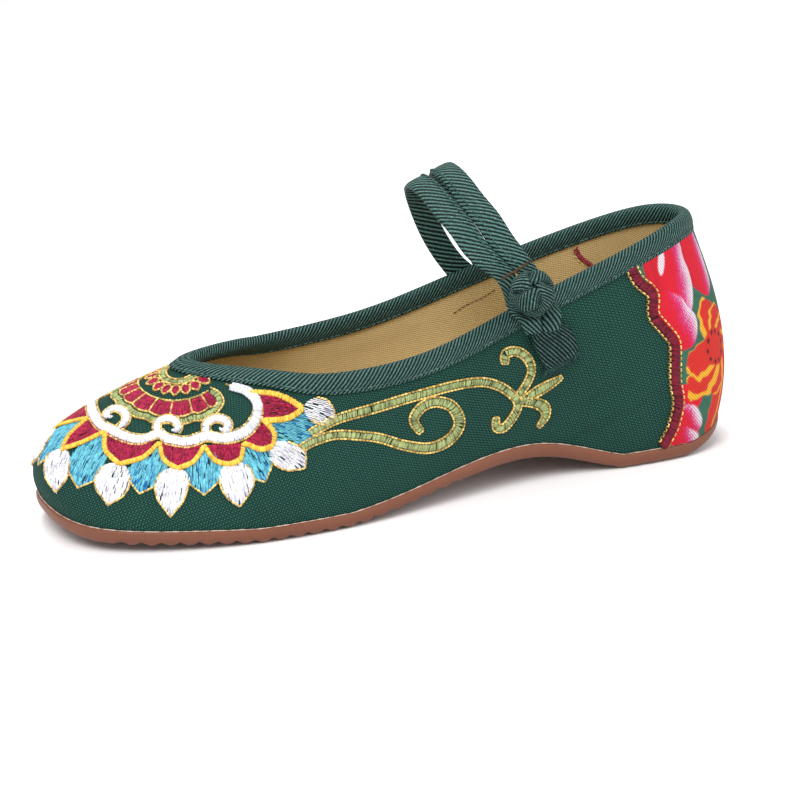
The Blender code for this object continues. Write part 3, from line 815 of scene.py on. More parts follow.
# %% Paint the rubber
paint = Paint("amber rubber")
spread = paint.noise(24.0, 3.0)
cloudy = (spread * 1.5 - 0.25).clamped()
height_mm = Number(paint, paint.node(
    "ShaderNodeSeparateXYZ", {0: paint.node("ShaderNodeTexCoord").outputs["Object"]}).outputs[2]) / MM
warm = paint.mix(cloudy, (0.130, 0.040, 0.019), (0.180, 0.062, 0.032))
dusty = ((2.2 - height_mm) * 0.5).clamped() * paint.noise(260.0, 3.0)
colour = paint.mix(dusty * 0.4, warm, (0.26, 0.16, 0.12))
pebble = paint.noise(1500.0, 2.0) * 0.6 + paint.noise(300.0, 2.0) * 0.4
rubber = paint.finish(
    colour, 0.42 + 0.2 * spread, paint.bump(pebble, 0.00006),
    Subsurface_Weight=0.12, Subsurface_Radius=(0.004, 0.0015, 0.0008), Subsurface_Scale=1.0,
    Specular_IOR_Level=0.3, Coat_Weight=0.03,
)
ribbed_sole.data.materials[0] = rubber
hand_over(ribbed_sole, "amber rubber", "outsole")

# %% [markdown]
# ## The glue line
# Where canvas meets rubber a thin pale bead of dried glue shows. It is a fine uneven cord that
# runs along the join.

# %% Make the glue line
paint = Paint("dried glue")
glue = paint.finish(
    paint.mix(paint.noise(240.0, 2.0), (0.26, 0.15, 0.10), (0.62, 0.52, 0.44)), 0.5,
    paint.bump(paint.noise(800.0), 0.0001))
t = ring_positions(900)
level = sole_bottom(t) + UP * (SOLE_EDGE + 0.0001)
thick = (0.14 + 0.09 * np.sin(t * 23) * np.sin(t * 57 + 1)) * MM
angles = np.linspace(0, 2 * np.pi, 7)[:-1]
points = (
    (level + outward(t) * 0.00025)[:, None]
    + outward(t)[:, None] * (np.cos(angles)[None] * thick[:, None] * 1.4)[..., None]
    + UP * (np.sin(angles)[None] * thick[:, None])[..., None]
)
make_piece("glue_line", points, glue, "amber rubber", ring=True)

# %% [markdown]
# ## The footbed
# Inside lies a cloth-covered footbed that thickens towards the heel. Its top is slightly
# dished, because a foot presses its middle down.

# %% Make the footbed
WALL = 0.0018
FOOTBED_HEIGHT = 0.0235
INSOLE_EDGE = 0.0032
DISHED = 0.0008
UP_TO = 60
FOOTBED_STEPS = 360
t = ring_positions(FOOTBED_STEPS)
bottom = sole_bottom(t)[:, 2] + SOLE_EDGE + CLEARANCE
bed = np.maximum(section(t)["bed"] * FOOTBED_HEIGHT, bottom + INSOLE_EDGE)
rise_table = last_skin(t[:, None], TABLE_W[None, :UP_TO])[..., 2]
side_rows = []
for share in (0.0, 0.5, 0.9, 1.0):
    height = bottom + share * (bed - bottom)
    w = np.array([np.interp(h, row, TABLE_W[:UP_TO]) for h, row in zip(height, rise_table)])
    inset = WALL + 3 * CLEARANCE + (0.0006 if share == 1.0 else 0.0)
    row = last_skin(t, w) - last_normal(t, w) * inset
    row[:, 2] = height
    side_rows.append(row)
rim = side_rows[-1]
spine_x = spine_reach(rim[:, 0], 0.026, 0.024)
spine_y, spine_z = middle_line(spine_x)
outer_rim = rim[:FOOTBED_STEPS // 2 + 1]
outer_rim = outer_rim[np.argsort(outer_rim[:, 0])]
bed_height = np.interp(spine_x, outer_rim[:, 0], outer_rim[:, 2])
spine = place(spine_x, spine_y, bed_height)
shares = np.linspace(0, 1, 12)[1:, None, None]
top = rim[None] * (1 - shares) + spine[None] * shares - UP * DISHED * np.sin(shares * np.pi / 2)
floor_spine = place(spine_x, spine_y, spine_z + SOLE_EDGE + CLEARANCE)
shares = np.linspace(1, 0, 6)[:-1, None, None]
base = side_rows[0][None] * (1 - shares) + floor_spine[None] * shares
points = np.concatenate([base.transpose(1, 0, 2), np.stack(side_rows, 1), top.transpose(1, 0, 2)], 1)
uv = np.concatenate([points[..., :2], points[:1, :, :2]]) / MM
make_piece("footbed", points, lining_cloth, "cream lining", "insole", uv=uv, ring=True, tube=False)

# %% [markdown]
# ## Stitches
# Every stitch is a short strand that dips into the cloth at both ends. Python charts where the
# strands lie, as short broken lines. A Geometry Nodes tree then sweeps a small round section
# along all of them, with named inputs for the strand's size.


# %% The tree that spins strands
def strand_tree():
    tree = bpy.data.node_groups.new("spin strands", "GeometryNodeTree")
    face = tree.interface
    face.new_socket("Geometry", in_out="INPUT", socket_type="NodeSocketGeometry")
    face.new_socket("Strand radius", in_out="INPUT", socket_type="NodeSocketFloat")
    face.new_socket("Strand sides", in_out="INPUT", socket_type="NodeSocketInt")
    face.new_socket("Thread", in_out="INPUT", socket_type="NodeSocketMaterial")
    face.new_socket("Geometry", in_out="OUTPUT", socket_type="NodeSocketGeometry")
    kinds = {
        "given": "NodeGroupInput", "lines": "GeometryNodeMeshToCurve",
        "round": "GeometryNodeCurvePrimitiveCircle", "sweep": "GeometryNodeCurveToMesh",
        "real": "GeometryNodeRealizeInstances",
        "smooth": "GeometryNodeSetShadeSmooth", "dye": "GeometryNodeSetMaterial", "made": "NodeGroupOutput",
    }
    node = {name: tree.nodes.new(kind) for name, kind in kinds.items()}
    node["sweep"].inputs["Fill Caps"].default_value = True
    links = (
        ("given", "Geometry", "lines", "Mesh"), ("lines", "Curve", "sweep", "Curve"),
        ("given", "Strand sides", "round", "Resolution"), ("given", "Strand radius", "round", "Radius"),
        ("round", "Curve", "sweep", "Profile Curve"), ("sweep", "Mesh", "real", "Geometry"),
        ("real", "Geometry", "smooth", "Geometry"), ("smooth", "Geometry", "dye", "Geometry"),
        ("given", "Thread", "dye", "Material"), ("dye", "Geometry", "made", "Geometry"),
    )
    for source, leaves, target, enters in links:
        tree.links.new(node[source].outputs[leaves], node[target].inputs[enters])
    return tree


STRANDS = strand_tree()
shades = np.random.default_rng(11)


def spin(name, lines, dye, radius, slot, sides=5):
    """Turns an array of broken lines (lines, places, 3) into strands of thread."""
    lines = np.asarray(lines)
    count, long = lines.shape[:2]
    start = np.arange(count)[:, None] * long + np.arange(long - 1)[None]
    edges = np.stack([start, start + 1], -1).reshape(-1, 2)
    mesh = bpy.data.meshes.new(name)
    mesh.from_pydata(lines.reshape(-1, 3).tolist(), edges.tolist(), [])
    own = mesh.attributes.new("shade", "FLOAT", "POINT")
    # painted shadow: each strand's two end places, where it dips into the cloth, are darkened
    dip = np.ones(long)
    dip[0] = dip[-1] = 0.2
    own.data.foreach_set("value", (shades.uniform(0.25, 1.0, (count, 1)) * dip).ravel())
    chart = add_object(name + " chart", mesh)
    modifier = chart.modifiers.new("spin", "NODES")
    modifier.node_group = STRANDS
    given = {"Strand radius": radius, "Strand sides": sides, "Thread": THREADS[dye]}
    for item in STRANDS.interface.items_tree:
        if item.in_out == "INPUT" and item.name in given:
            modifier[item.identifier] = given[item.name]
    chart.update_tag()
    graph = bpy.context.evaluated_depsgraph_get()
    plain = bpy.data.meshes.new_from_object(chart.evaluated_get(graph), depsgraph=graph)
    bpy.data.objects.remove(chart)
    plain.name = name
    hand_over(add_object(name, plain), slot)
    print("  ", count, "stitches,", sum(len(f.vertices) - 2 for f in plain.polygons), "triangles")


# %% [markdown]
# ## A flat chart for the flower
# The flower on the toe is designed flat, round a centre at the throat. A place in the chart is
# an angle from the toe line and a straight distance from the centre. To sew it, each place is
# looked for on the cloth: the nearest of many known places first, then a few corrections.

# %% From the chart to the cloth
FLOWER_CENTRE = np.array((-0.0303, -0.0029, 0.0486))
CLEAR_OF_BINDING = 0.0066
CLEAR_OF_SOLE = 0.015
FOUND_WITHIN = 0.0004
CORRECTIONS = 3
NUDGE_T, NUDGE_W = 0.01, 0.005


def chart_place(points):
    away = points - FLOWER_CENTRE
    radius = np.linalg.norm(away, axis=-1)
    angle = np.arctan2(-away[..., 1], -away[..., 0])
    return np.stack([radius * np.cos(angle), radius * np.sin(angle)], -1)


KNOWN_T, KNOWN_W = (a.ravel() for a in np.meshgrid(np.arange(3.0, 13.0, 0.04), np.linspace(0.0, 1.0, 51)))
KNOWN = chart_place(last_skin(KNOWN_T, KNOWN_W))
finder = KDTree(len(KNOWN))
for index, (a, b) in enumerate(KNOWN.tolist()):
    finder.insert((a, b, 0), index)
finder.balance()


def sew_down(chart):
    """Ring position and wall parameter of places in the chart (mm), and whether cloth is there."""
    goal = np.asarray(chart, float) * MM
    flat = goal.reshape(-1, 2)
    nearest = np.array([finder.find((a, b, 0))[1] for a, b in flat.tolist()])
    t, w = KNOWN_T[nearest].copy(), KNOWN_W[nearest].copy()
    crossed = lambda a, b: a[:, 0] * b[:, 1] - a[:, 1] * b[:, 0]
    for _ in range(CORRECTIONS):
        here = chart_place(last_skin(t, w))
        by_t = (chart_place(last_skin(t + NUDGE_T, w)) - here) / NUDGE_T
        by_w = (chart_place(last_skin(t, w + NUDGE_W)) - here) / NUDGE_W
        miss = flat - here
        scale = crossed(by_t, by_w)
        scale = np.where(np.abs(scale) < 1e-9, 1e-9, scale)
        t += np.clip(crossed(miss, by_w) / scale, -0.2, 0.2)
        w = np.clip(w + np.clip(crossed(by_t, miss) / scale, -0.1, 0.1), 0, 0.995)
    miss = np.linalg.norm(flat - chart_place(last_skin(t, w)), axis=1)
    there = (miss < FOUND_WITHIN) & (w > CLEAR_OF_SOLE) & (distance_below(t, w) > CLEAR_OF_BINDING)
    shape = goal.shape[:-1]
    return t.reshape(shape), w.reshape(shape), there.reshape(shape)


# %% [markdown]
# ## Smooth paths
# A needle follows a drawn line, and a few places are enough to chart one. A smooth curve passes
# through all of them, and the distances along it let stitches be set at an even pitch.

# %% Curves through charted places
CURVE_STEPS = 12


def smooth_rows(rows, steps):
    """A smooth curve through the rows of a table, in some steps from each row to the next."""
    table = np.array(rows, float)
    padded = np.vstack([2 * table[0] - table[1], table, 2 * table[-1] - table[-2]])
    f = np.linspace(0, 1, steps, endpoint=False)[:, None]
    bits = [
        0.5 * (2 * b + (c - a) * f + (2 * a - 5 * b + 4 * c - d) * f**2 + (3 * b - a - 3 * c + d) * f**3)
        for a, b, c, d in zip(padded[:-3], padded[1:-2], padded[2:-1], padded[3:])
    ]
    return np.concatenate(bits + [table[-1:]])


def lengths_along(path):
    """The distance from the path's start to each of its places."""
    return np.concatenate([[0], np.cumsum(np.linalg.norm(np.diff(path, axis=0), axis=1))])


def places_at(steps, lengths, path):
    """The places at some distances along a path."""
    return np.stack([np.interp(steps, lengths, column) for column in path.T], -1)


def smooth_path(points, spacing):
    """A smooth path through the given places, with a place each spacing."""
    fine = smooth_rows(points, CURVE_STEPS)
    lengths = lengths_along(fine)
    return places_at(np.arange(0, lengths[-1] + spacing / 2, spacing), lengths, fine)


def sideways(path):
    ahead = unit(np.gradient(path, axis=0))
    return np.stack([-ahead[:, 1], ahead[:, 0]], -1)


# %% [markdown]
# ## Three ways to stitch
# A band is satin stitch: strands side by side, straight across a path. A row is running stitch:
# short dashes along a path. A filling covers a shape with rows of strands that all run the same
# way, each broken into lengths that don't line up with their neighbours.

# %% Bands, rows and fillings in the chart
dice = np.random.default_rng(7)
SATIN_PITCH = 0.36
DASH = 0.84
DASH_PITCH = 1.22
FILL_PITCH = 0.38
LOOSE = 0.05
chart_lines = {name: [] for name in THREADS}


def polar(angle, radius):
    angle = np.radians(angle)
    return np.stack([radius * np.cos(angle), radius * np.sin(angle)], -1)


def charted(rows, turned):
    """Places in the chart for rows of angle and radius."""
    return np.array([polar(turned(angle), radius) for angle, radius in rows])


def sew(dye, ends, rise, jitter):
    """Notes stitches in the chart: ends is (stitches, 2, 2), rise their height (mm)."""
    ends = np.asarray(ends, float)
    ends = ends + dice.normal(0, 1, ends.shape) * jitter
    chart_lines[dye].append((ends, np.full(len(ends), rise)))


def band(dye, path, width, rise, taper=0.0):
    path = smooth_path(path, SATIN_PITCH)
    share = np.linspace(0, 1, len(path))
    half = width / 2 * np.clip(np.minimum(share, 1 - share) / max(taper, 1e-6), 0.25, 1)[:, None]
    across = sideways(path)
    sew(dye, np.stack([path - across * half, path + across * half], 1), rise, 0.06)


def gold_dashes(path, rise, pitch=DASH_PITCH, smooth=True):
    path = smooth_path(path, 0.2) if smooth else path
    lengths = lengths_along(path)
    start = np.arange(0, lengths[-1] - 0.4, pitch)
    ends = [places_at(start + shift, lengths, path) for shift in (0, DASH * pitch / DASH_PITCH)]
    sew("gold", np.stack(ends, 1), rise, LOOSE)


def filling(dye, outline, degrees, rise, gaps, length, far_dye=None):
    """Rows of strands at an angle inside a closed outline. gaps is the share left out, and
    far_dye takes over bit by bit towards the far end."""
    ahead = polar(degrees, 1.0)
    across = np.array((-ahead[1], ahead[0]))
    a, b = outline @ ahead, outline @ across
    stitches, far = [], []
    for level in np.arange(b.min() + FILL_PITCH / 2, b.max(), FILL_PITCH):
        b2, a2 = np.roll(b, -1), np.roll(a, -1)
        crossing = (b > level) != (b2 > level)
        cuts = np.sort(a[crossing] + (level - b[crossing]) / (b2 - b)[crossing] * (a2 - a)[crossing])
        for first, last in zip(cuts[::2], cuts[1::2]):
            edges = [first]
            position = first + dice.uniform(0.4, 1.0) * length
            while position < last - 0.35 * length:
                edges.append(position)
                position += dice.uniform(0.7, 1.25) * length
            edges.append(last)
            for start, end in zip(edges, edges[1:]):
                if end - start > 0.25 and dice.random() >= gaps:
                    share = (start - a.min()) / (a.max() - a.min())
                    turned_dye = far_dye and dice.random() < max(0.07, 1.5 * (share - 0.6))
                    kind = far if turned_dye else stitches
                    kind.append((ahead * start + across * level, ahead * (end + 0.15) + across * level))
    for used, noted in ((dye, stitches), (far_dye, far)):
        if noted:
            sew(used, noted, rise, LOOSE)


# %% [markdown]
# ## The flower
# From the middle out: a disc of bare canvas, a sage ring, small red points, a ring of red
# segments, a scalloped sage band, a white scalloped band with curling clouds, red petals with
# thick yellow edges, and white and blue petals that alternate beyond them. The other half is its
# mirror image about the flower's own middle line, a little squeezed.

# %% Chart tables for the flower
MIRROR_ABOUT = -14.0
MIRROR_SQUEEZE = 0.83
MIDDLE_RED = (-29.0, 33.0, -18.0, 45.0, 2.0, 33.8)
MIDDLE_WHITE = (-18.0, 44.0, -15.0, 57.0, -25.0, 50.5, -5.0, 51.5)
RED_PETALS = (
    # left angle, left radius, tip angle, tip radius, right angle, right radius (degrees, mm)
    (2.0, 33.8, 6.5, 46.2, 18.8, 33.3), (18.8, 33.3, 36.6, 40.7, 56.0, 30.6),
    (56.0, 30.6, 68.5, 38.8, 86.4, 32.6), (86.4, 32.6, 96.9, 40.4, 108.5, 36.6),
    (108.5, 36.6, 120.0, 42.4, 123.4, 34.8), (122.8, 34.8, 138.2, 43.0, 131.0, 25.5),
)
WHITE_PETALS = (
    # base angle, base radius, tip angle, tip radius, left angle, left radius, right ones
    (6.6, 45.2, 13.2, 56.4, 1.2, 51.6, 16.2, 50.2), (36.6, 39.8, 37.4, 53.2, 28.4, 46.8, 44.8, 45.4),
    (68.4, 38.0, 65.0, 52.8, 57.2, 44.0, 75.0, 42.6), (97.0, 39.4, 97.6, 52.6, 90.4, 45.0, 107.0, 46.0),
    (120.0, 41.6, 126.6, 53.5, 116.4, 46.0, 129.0, 49.0),
    (138.4, 42.6, 142.2, 53.6, 137.4, 48.4, 144.0, 47.2),
)
BLUE_PETALS = (
    (2.0, 33.8, -3.4, 54.6, -12.0, 45.5, 3.5, 48.5), (18.8, 33.3, 22.8, 52.4, 13.0, 48.0, 30.5, 46.0),
    (56.0, 30.6, 50.0, 47.6, 41.5, 42.5, 62.0, 41.5), (86.4, 32.6, 81.8, 47.2, 72.5, 41.5, 94.0, 42.0),
    (108.5, 36.6, 111.0, 49.5, 102.5, 43.5, 119.0, 44.0),
    (124.5, 36.0, 136.4, 52.4, 121.6, 44.5, 138.2, 45.4),
)
CLOUD_BAND = (
    (-14.0, 30.7), (-1.5, 31.3), (11.7, 32.4), (19.0, 31.9), (27.3, 31.7), (36.7, 31.4), (45.1, 30.2),
    (54.0, 27.4),
    (60.0, 28.9), (67.0, 29.6), (75.0, 30.3), (82.0, 29.9), (88.8, 29.6), (97.2, 31.8), (104.0, 33.1),
    (112.0, 33.9), (118.3, 33.4), (124.3, 32.0), (128.6, 29.2), (131.1, 24.9), (130.3, 21.2), (129.2, 19.0),
)
CLOUD_CURLS = (
    ((24.1, 30.4), (24.7, 26.9), (20.4, 24.6), (13.6, 24.2), (7.4, 25.4), (6.9, 27.8), (10.6, 28.9),
     (14.2, 28.0)),
    ((54.0, 27.6), (50.6, 25.2), (51.0, 22.9), (55.9, 21.7), (63.6, 21.9), (68.6, 23.9), (68.2, 25.8),
     (63.5, 26.0)),
    ((90.6, 29.6), (90.6, 26.6), (94.6, 25.0), (100.4, 25.1), (105.2, 26.9), (105.6, 29.2),
     (102.0, 30.2), (99.6, 28.9)),
)
PETAL_SEWING = {
    # height (mm), dye of the far end, share without gold at the base, fullness near the tip
    "blue": (0.12, "deep blue", 0.30, 0.62), "white": (0.40, "lavender", 0.16, 0.80),
}
RED_HEIGHT, YELLOW_HEIGHT, CLOUD_HEIGHT, RING_HEIGHT = 0.55, 0.85, 0.80, 0.45


def both_halves(draw):
    """Draws once as charted and once mirrored, where the inner side leaves a little less room."""
    draw(lambda angle: np.asarray(angle, float))
    draw(lambda angle: MIRROR_ABOUT - MIRROR_SQUEEZE * (np.asarray(angle, float) - MIRROR_ABOUT))


# %% Petals beyond the clouds
def leaf_outline(base, left, tip, right, belly=0.8):
    """A pointed petal: two full sides that leave the base and meet at the tip."""
    def half(side):
        axis = tip - base
        share = (side - base) @ axis / (axis @ axis)
        reach = side - base - axis * share
        out = base + axis * share * 0.35 + reach * 0.68
        near = base + axis * (share + (1 - share) * 0.52) + reach * belly
        return smooth_path([base, out, side, near, tip], 0.35)
    return np.concatenate([half(left), half(right)[::-1]])


def degrees_of(way):
    return math.degrees(math.atan2(way[1], way[0]))


def outer_petal(row, dye, turned=float):
    base, tip, left, right = charted(zip(row[::2], row[1::2]), turned)
    rise, far_dye, bare, belly = PETAL_SEWING[dye]
    outline = leaf_outline(base, left, tip, right, belly)
    filling(dye, outline, degrees_of(tip - base), rise, 0.08, 1.9, far_dye)
    middle = len(outline) // 2
    first, last = int(len(outline) * bare), int(len(outline) * (1 - bare))
    for edge in (outline[first:middle + 1], outline[middle:last]):
        gold_dashes(edge, rise + 0.15, smooth=False)


def outer_petals(turned):
    for rows, dye in ((BLUE_PETALS, "blue"), (WHITE_PETALS, "white")):
        for row in rows:
            outer_petal(row, dye, turned)


both_halves(outer_petals)
outer_petal(MIDDLE_WHITE, "white")


# %% Red petals with yellow edges
def red_petal(row, turned=float):
    left, tip, right = charted(zip(row[::2], row[1::2]), turned)
    out = unit(tip - (left + right) / 2)
    sides = [
        smooth_path([side, side + (tip - side) * 0.42 + (side - other) * 0.05 + out * 2.1, tip], 0.35)
        for side, other in ((left, right), (right, left))
    ]
    outline = np.concatenate([sides[0], sides[1][::-1]])
    filling("red", outline, degrees_of(out), RED_HEIGHT, 0.02, 2.0)
    for side in sides:
        band("yellow", side, 1.45, YELLOW_HEIGHT)


def red_petals(turned):
    for row in RED_PETALS:
        red_petal(row, turned)


both_halves(red_petals)
red_petal(MIDDLE_RED)


# %% Clouds, rings and the small points
def clouds(turned):
    band("white", charted(CLOUD_BAND, turned), 3.0, CLOUD_HEIGHT)
    for beside, rise in ((-1.95, 0.35), (1.95, 0.62)):
        gold_dashes(charted([(a, r + beside) for a, r in CLOUD_BAND], turned), rise)
    for curl in CLOUD_CURLS:
        path = smooth_path(charted(curl, turned), 0.3)
        band("white", path, 2.3, CLOUD_HEIGHT, taper=0.12)
        for beside, last in ((1.5, -6), (-1.5, -10)):
            gold_dashes((path + sideways(path) * beside)[2:last], 0.4, smooth=False)


both_halves(clouds)
DISC_END = 140.0
SEGMENT_INSIDE, SEGMENT_OUTSIDE = 14.9, 19.9
DIVISIONS = (-14.0, 0.0, 16.0, 37.0, 60.0, 83.0, 100.0, 110.0)
SAGE_TURN = ((104.0, 21.9), (110.5, 20.6), (114.0, 17.8), (113.0, 15.2))
SAGE_TURN_EDGE = ((105.0, 23.3), (113.0, 21.6), (117.5, 18.0), (116.0, 14.0))


def segment(start, end, turned):
    angle = np.linspace(start + 0.5, end - 0.5, 9)
    swell = SEGMENT_OUTSIDE + 0.7 * np.sin(np.linspace(0, np.pi, 9))
    inner, outer = charted([(a, SEGMENT_INSIDE) for a in angle], turned), charted(zip(angle, swell), turned)
    outline = np.concatenate([inner, outer[::-1]])
    filling("red", outline, float(turned((start + end) / 2)), 0.42, 0.0, 2.2)
    gold_dashes(charted([(start, r) for r in (14.8, 17.5, 20.0)], turned), 0.55, 1.1)
    gold_dashes(charted(zip(angle, swell + 0.35), turned), 0.55)
    angle = np.linspace(start, end, 12)
    return [(a, 22.0 + 0.6 * s) for a, s in zip(angle, np.sin(np.linspace(0, np.pi, 12)))]


def rings(turned):
    chart = lambda rows: charted(rows, turned)
    scallops = []
    for start, end in zip(DIVISIONS, DIVISIONS[1:]):
        scallops += segment(start, end, turned)
    scallops = [row for row in scallops if row[0] < 103]
    band("sage", chart(scallops[::3] + list(SAGE_TURN)), 1.9, RING_HEIGHT)
    gold_dashes(chart([(a, r + 1.3) for a, r in scallops[::3]] + list(SAGE_TURN_EDGE)), 0.5)
    gold_dashes(chart([(a, 14.4) for a in np.linspace(MIRROR_ABOUT, 112.0, 60)]), RING_HEIGHT)
    angle = np.linspace(MIRROR_ABOUT, DISC_END, 60)
    band("sage", chart([(a, 6.1) for a in angle]), 1.5, RING_HEIGHT)
    for radius in (4.9, 7.2):
        gold_dashes(chart([(a, radius) for a in angle]), 0.5)
    for tip_angle in (-2.0, 20.0, 40.0, 60.0, 81.0, 101.0, 121.0):
        base, tip, left, right = chart((
            (tip_angle, 7.6), (tip_angle, 12.2), (tip_angle - 9.5, 9.6), (tip_angle + 9.5, 9.6)))
        outline = leaf_outline(base, left, tip, right)
        filling("red", outline, float(turned(tip_angle)), 0.4, 0.0, 2.0)
        gold_dashes(outline, RING_HEIGHT, smooth=False)


both_halves(rings)

# %% Sew the flower
THREAD_RADIUS = {
    "white": 0.00021, "lavender": 0.00021, "blue": 0.00020, "deep blue": 0.00020, "red": 0.00020,
    "yellow": 0.00021, "gold": 0.00033, "sage": 0.00021,
}
BURIED = -0.12
DIP = 0.40


def sewn_lines(ends, rise, shallowest):
    """Lays chart stitches on the cloth as lines of four places. Their ends dip into the cloth, or
    into the stitches beneath if shallowest says so."""
    share = np.array((0.0, 0.16, 0.84, 1.0))[None, :, None]
    chart = ends[:, None, 0] * (1 - share) + ends[:, None, 1] * share
    t, w, there = sew_down(chart)
    keep = there.all(1)
    low = np.maximum(BURIED, rise - shallowest)
    height = np.stack([low, rise, rise, low], 1) * MM
    return cloth(t[keep], w[keep], height[keep])


for dye, noted in chart_lines.items():
    if noted:
        ends, rise = (np.concatenate(parts) for parts in zip(*noted))
        lines = sewn_lines(ends, rise, 1.0 if dye == "gold" else DIP)
        name = "flower_" + dye.replace(" ", "_") + "_stitches"
        spin(name, lines, dye, THREAD_RADIUS[dye], "green canvas")

# %% [markdown]
# ## The vines
# Two stems of sage satin leave the flower and curl along each side of the shoe, with gold
# running stitch along both edges and small leaves at the end of the upper one. Their paths are
# charted on the wall itself, by ring position and distance below the opening.

# %% Chart of the vines
VINES = (
    # each place: ring position, distance below the opening (mm), width, which STEM_WIDTH scales
    (   # the upper stem, which ends in a low hook
        (5.28, 20.3, 2.0), (5.05, 16.0, 2.3), (4.85, 14.2, 2.5), (4.5, 12.9, 2.6), (4.2, 12.6, 2.6),
        (3.8, 13.9, 2.5), (3.5, 16.9, 2.4), (3.32, 21.4, 2.4), (3.2, 27.0, 2.3), (3.16, 31.0, 2.4),
        (3.2, 34.0, 2.6), (3.29, 36.3, 2.6), (3.36, 34.8, 2.4), (3.36, 31.4, 2.0)),
    (   # the lower stem and its scroll
        (5.33, 25.6, 2.0), (5.19, 22.6, 2.2), (4.95, 20.6, 2.3), (4.55, 23.0, 2.4), (4.22, 28.2, 2.7),
        (3.97, 31.7, 3.1), (3.79, 31.4, 3.6), (3.70, 27.4, 3.9), (3.78, 20.8, 3.3), (3.95, 17.0, 2.9),
        (4.1, 17.0, 2.7), (4.17, 20.4, 2.6), (4.07, 25.6, 2.0)),
    (   # the curl that rises to the tab
        (3.17, 28.5, 2.0), (3.06, 25.6, 2.3), (3.0, 21.8, 2.4), (3.03, 17.0, 2.5), (3.11, 13.6, 2.6),
        (3.21, 12.6, 2.8), (3.235, 15.6, 2.6)),
    ((3.14, 30.6, 1.8), (3.02, 33.2, 2.8), (2.93, 36.6, 3.6), (2.92, 40.0, 2.6), (2.99, 42.6, 0.8)),
    ((3.13, 30.4, 1.2), (3.0, 30.2, 3.2), (2.87, 30.1, 3.0), (2.735, 29.8, 0.8)),
)
STEM_WIDTH = 0.82
LEFT_OUT = 0.04
GOLD_BESIDE = 0.38
LINING_FACE = -1.62


def wall_path(rows, mirrored, spacing):
    """A smooth path on the cloth with a place each spacing (mm): distances, t, w and widths."""
    table = np.array(rows, float)
    if mirrored:
        table[:, 0] = SECTIONS - table[:, 0]
    reach = np.array((30.0, 1.0, 1.0))
    fine = smooth_path(table * reach, 0.15) / reach
    w = w_below(fine[:, 0], fine[:, 1] * MM)
    here = last_skin(fine[:, 0], w)
    lengths = lengths_along(here) / MM
    steps = np.arange(0, lengths[-1], spacing)
    return steps, *(np.interp(steps, lengths, column) for column in (fine[:, 0], w, fine[:, 2]))


def wall_frame(t, w, inside=False):
    here, out = cloth(t, w, LINING_FACE * MM if inside else 0.0), last_normal(t, w)
    ahead = unit(np.gradient(here, axis=0))
    return here, -out if inside else out, ahead, unit(np.cross(out, ahead))


def rounded_half(steps, half, beyond=0.0):
    """Half the width at each place, closing to a round end."""
    near = np.minimum(steps, steps[-1] - steps)
    return np.sqrt(np.clip((half + beyond) ** 2 - np.maximum(0, half - near) ** 2, 0.01, None))


def wall_band(rows, mirrored, rise=0.5, spacing=SATIN_PITCH, round_ends=True, inside=False):
    steps, t, w, width = wall_path(rows, mirrored, spacing)
    here, out, ahead, across = wall_frame(t, w, inside)
    half = rounded_half(steps, width / 2) if round_ends else width / 2
    half = (half * (1 + dice.normal(0, 0.05, half.shape)))[:, None] * MM
    ahead = ahead * (0.25 + dice.normal(0, 0.10, half.shape))
    low, high = out * (BURIED * MM), out * (rise * MM)
    reach = (across + ahead) * half
    lines = np.stack([
        here - reach + low, here - reach * 0.7 + high, here + reach * 0.7 + high, here + reach + low], 1)
    return lines[dice.random(len(lines)) > LEFT_OUT]


def dashes_along(path, out, rise, pitch):
    """Running stitch along any line of places, on the side that out faces."""
    lengths = lengths_along(path) / MM
    start = np.arange(0, lengths[-1] - 0.5, pitch)
    dash = DASH * pitch / DASH_PITCH
    profile = ((0.0, BURIED), (0.2, rise), (0.8, rise), (1.0, BURIED))
    return np.stack([
        places_at(start + share * dash, lengths, path + out * lift * MM) for share, lift in profile], 1)


def wall_dashes(rows, away, mirrored, rise, pitch, inside=False):
    """Running stitch beside a path: away is how far to its side (mm)."""
    _, t, w, _ = wall_path(rows, mirrored, 0.1)
    here, out, _, across = wall_frame(t, w, inside)
    return dashes_along(here + across * away * MM, out, rise, pitch)


def wall_outline(rows, mirrored):
    """Running stitch all round a band."""
    steps, t, w, width = wall_path(rows, mirrored, 0.1)
    here, out, _, across = wall_frame(t, w)
    half = rounded_half(steps, width / 2, GOLD_BESIDE)[:, None] * MM
    path = np.concatenate([here + across * half, (here - across * half)[::-1]])
    return dashes_along(path, np.concatenate([out, out[::-1]]), 0.4, DASH_PITCH)


# %% Sew the vines
sage, gold = [], []
for mirrored in (False, True):
    for rows in VINES:
        rows = [(t_at, down, STEM_WIDTH * width) for t_at, down, width in rows]
        sage.append(wall_band(rows, mirrored))
        gold.append(wall_outline(rows, mirrored))
spin("vine_satin_stitches", np.concatenate(sage), "sage", 0.00021, "green canvas")
spin("vine_gold_stitches", np.concatenate(gold), "gold", 0.00033, "green canvas")

# %% [markdown]
# ## The printed heel panel
# The heel is covered with cotton printed in the old farmhouse manner: big red and pink peonies
# with white petal tips, a fiery orange flower, and green between them. The print is painted on
# a fine mesh as a colour for each corner, petal by petal, as a printer lays down screens.

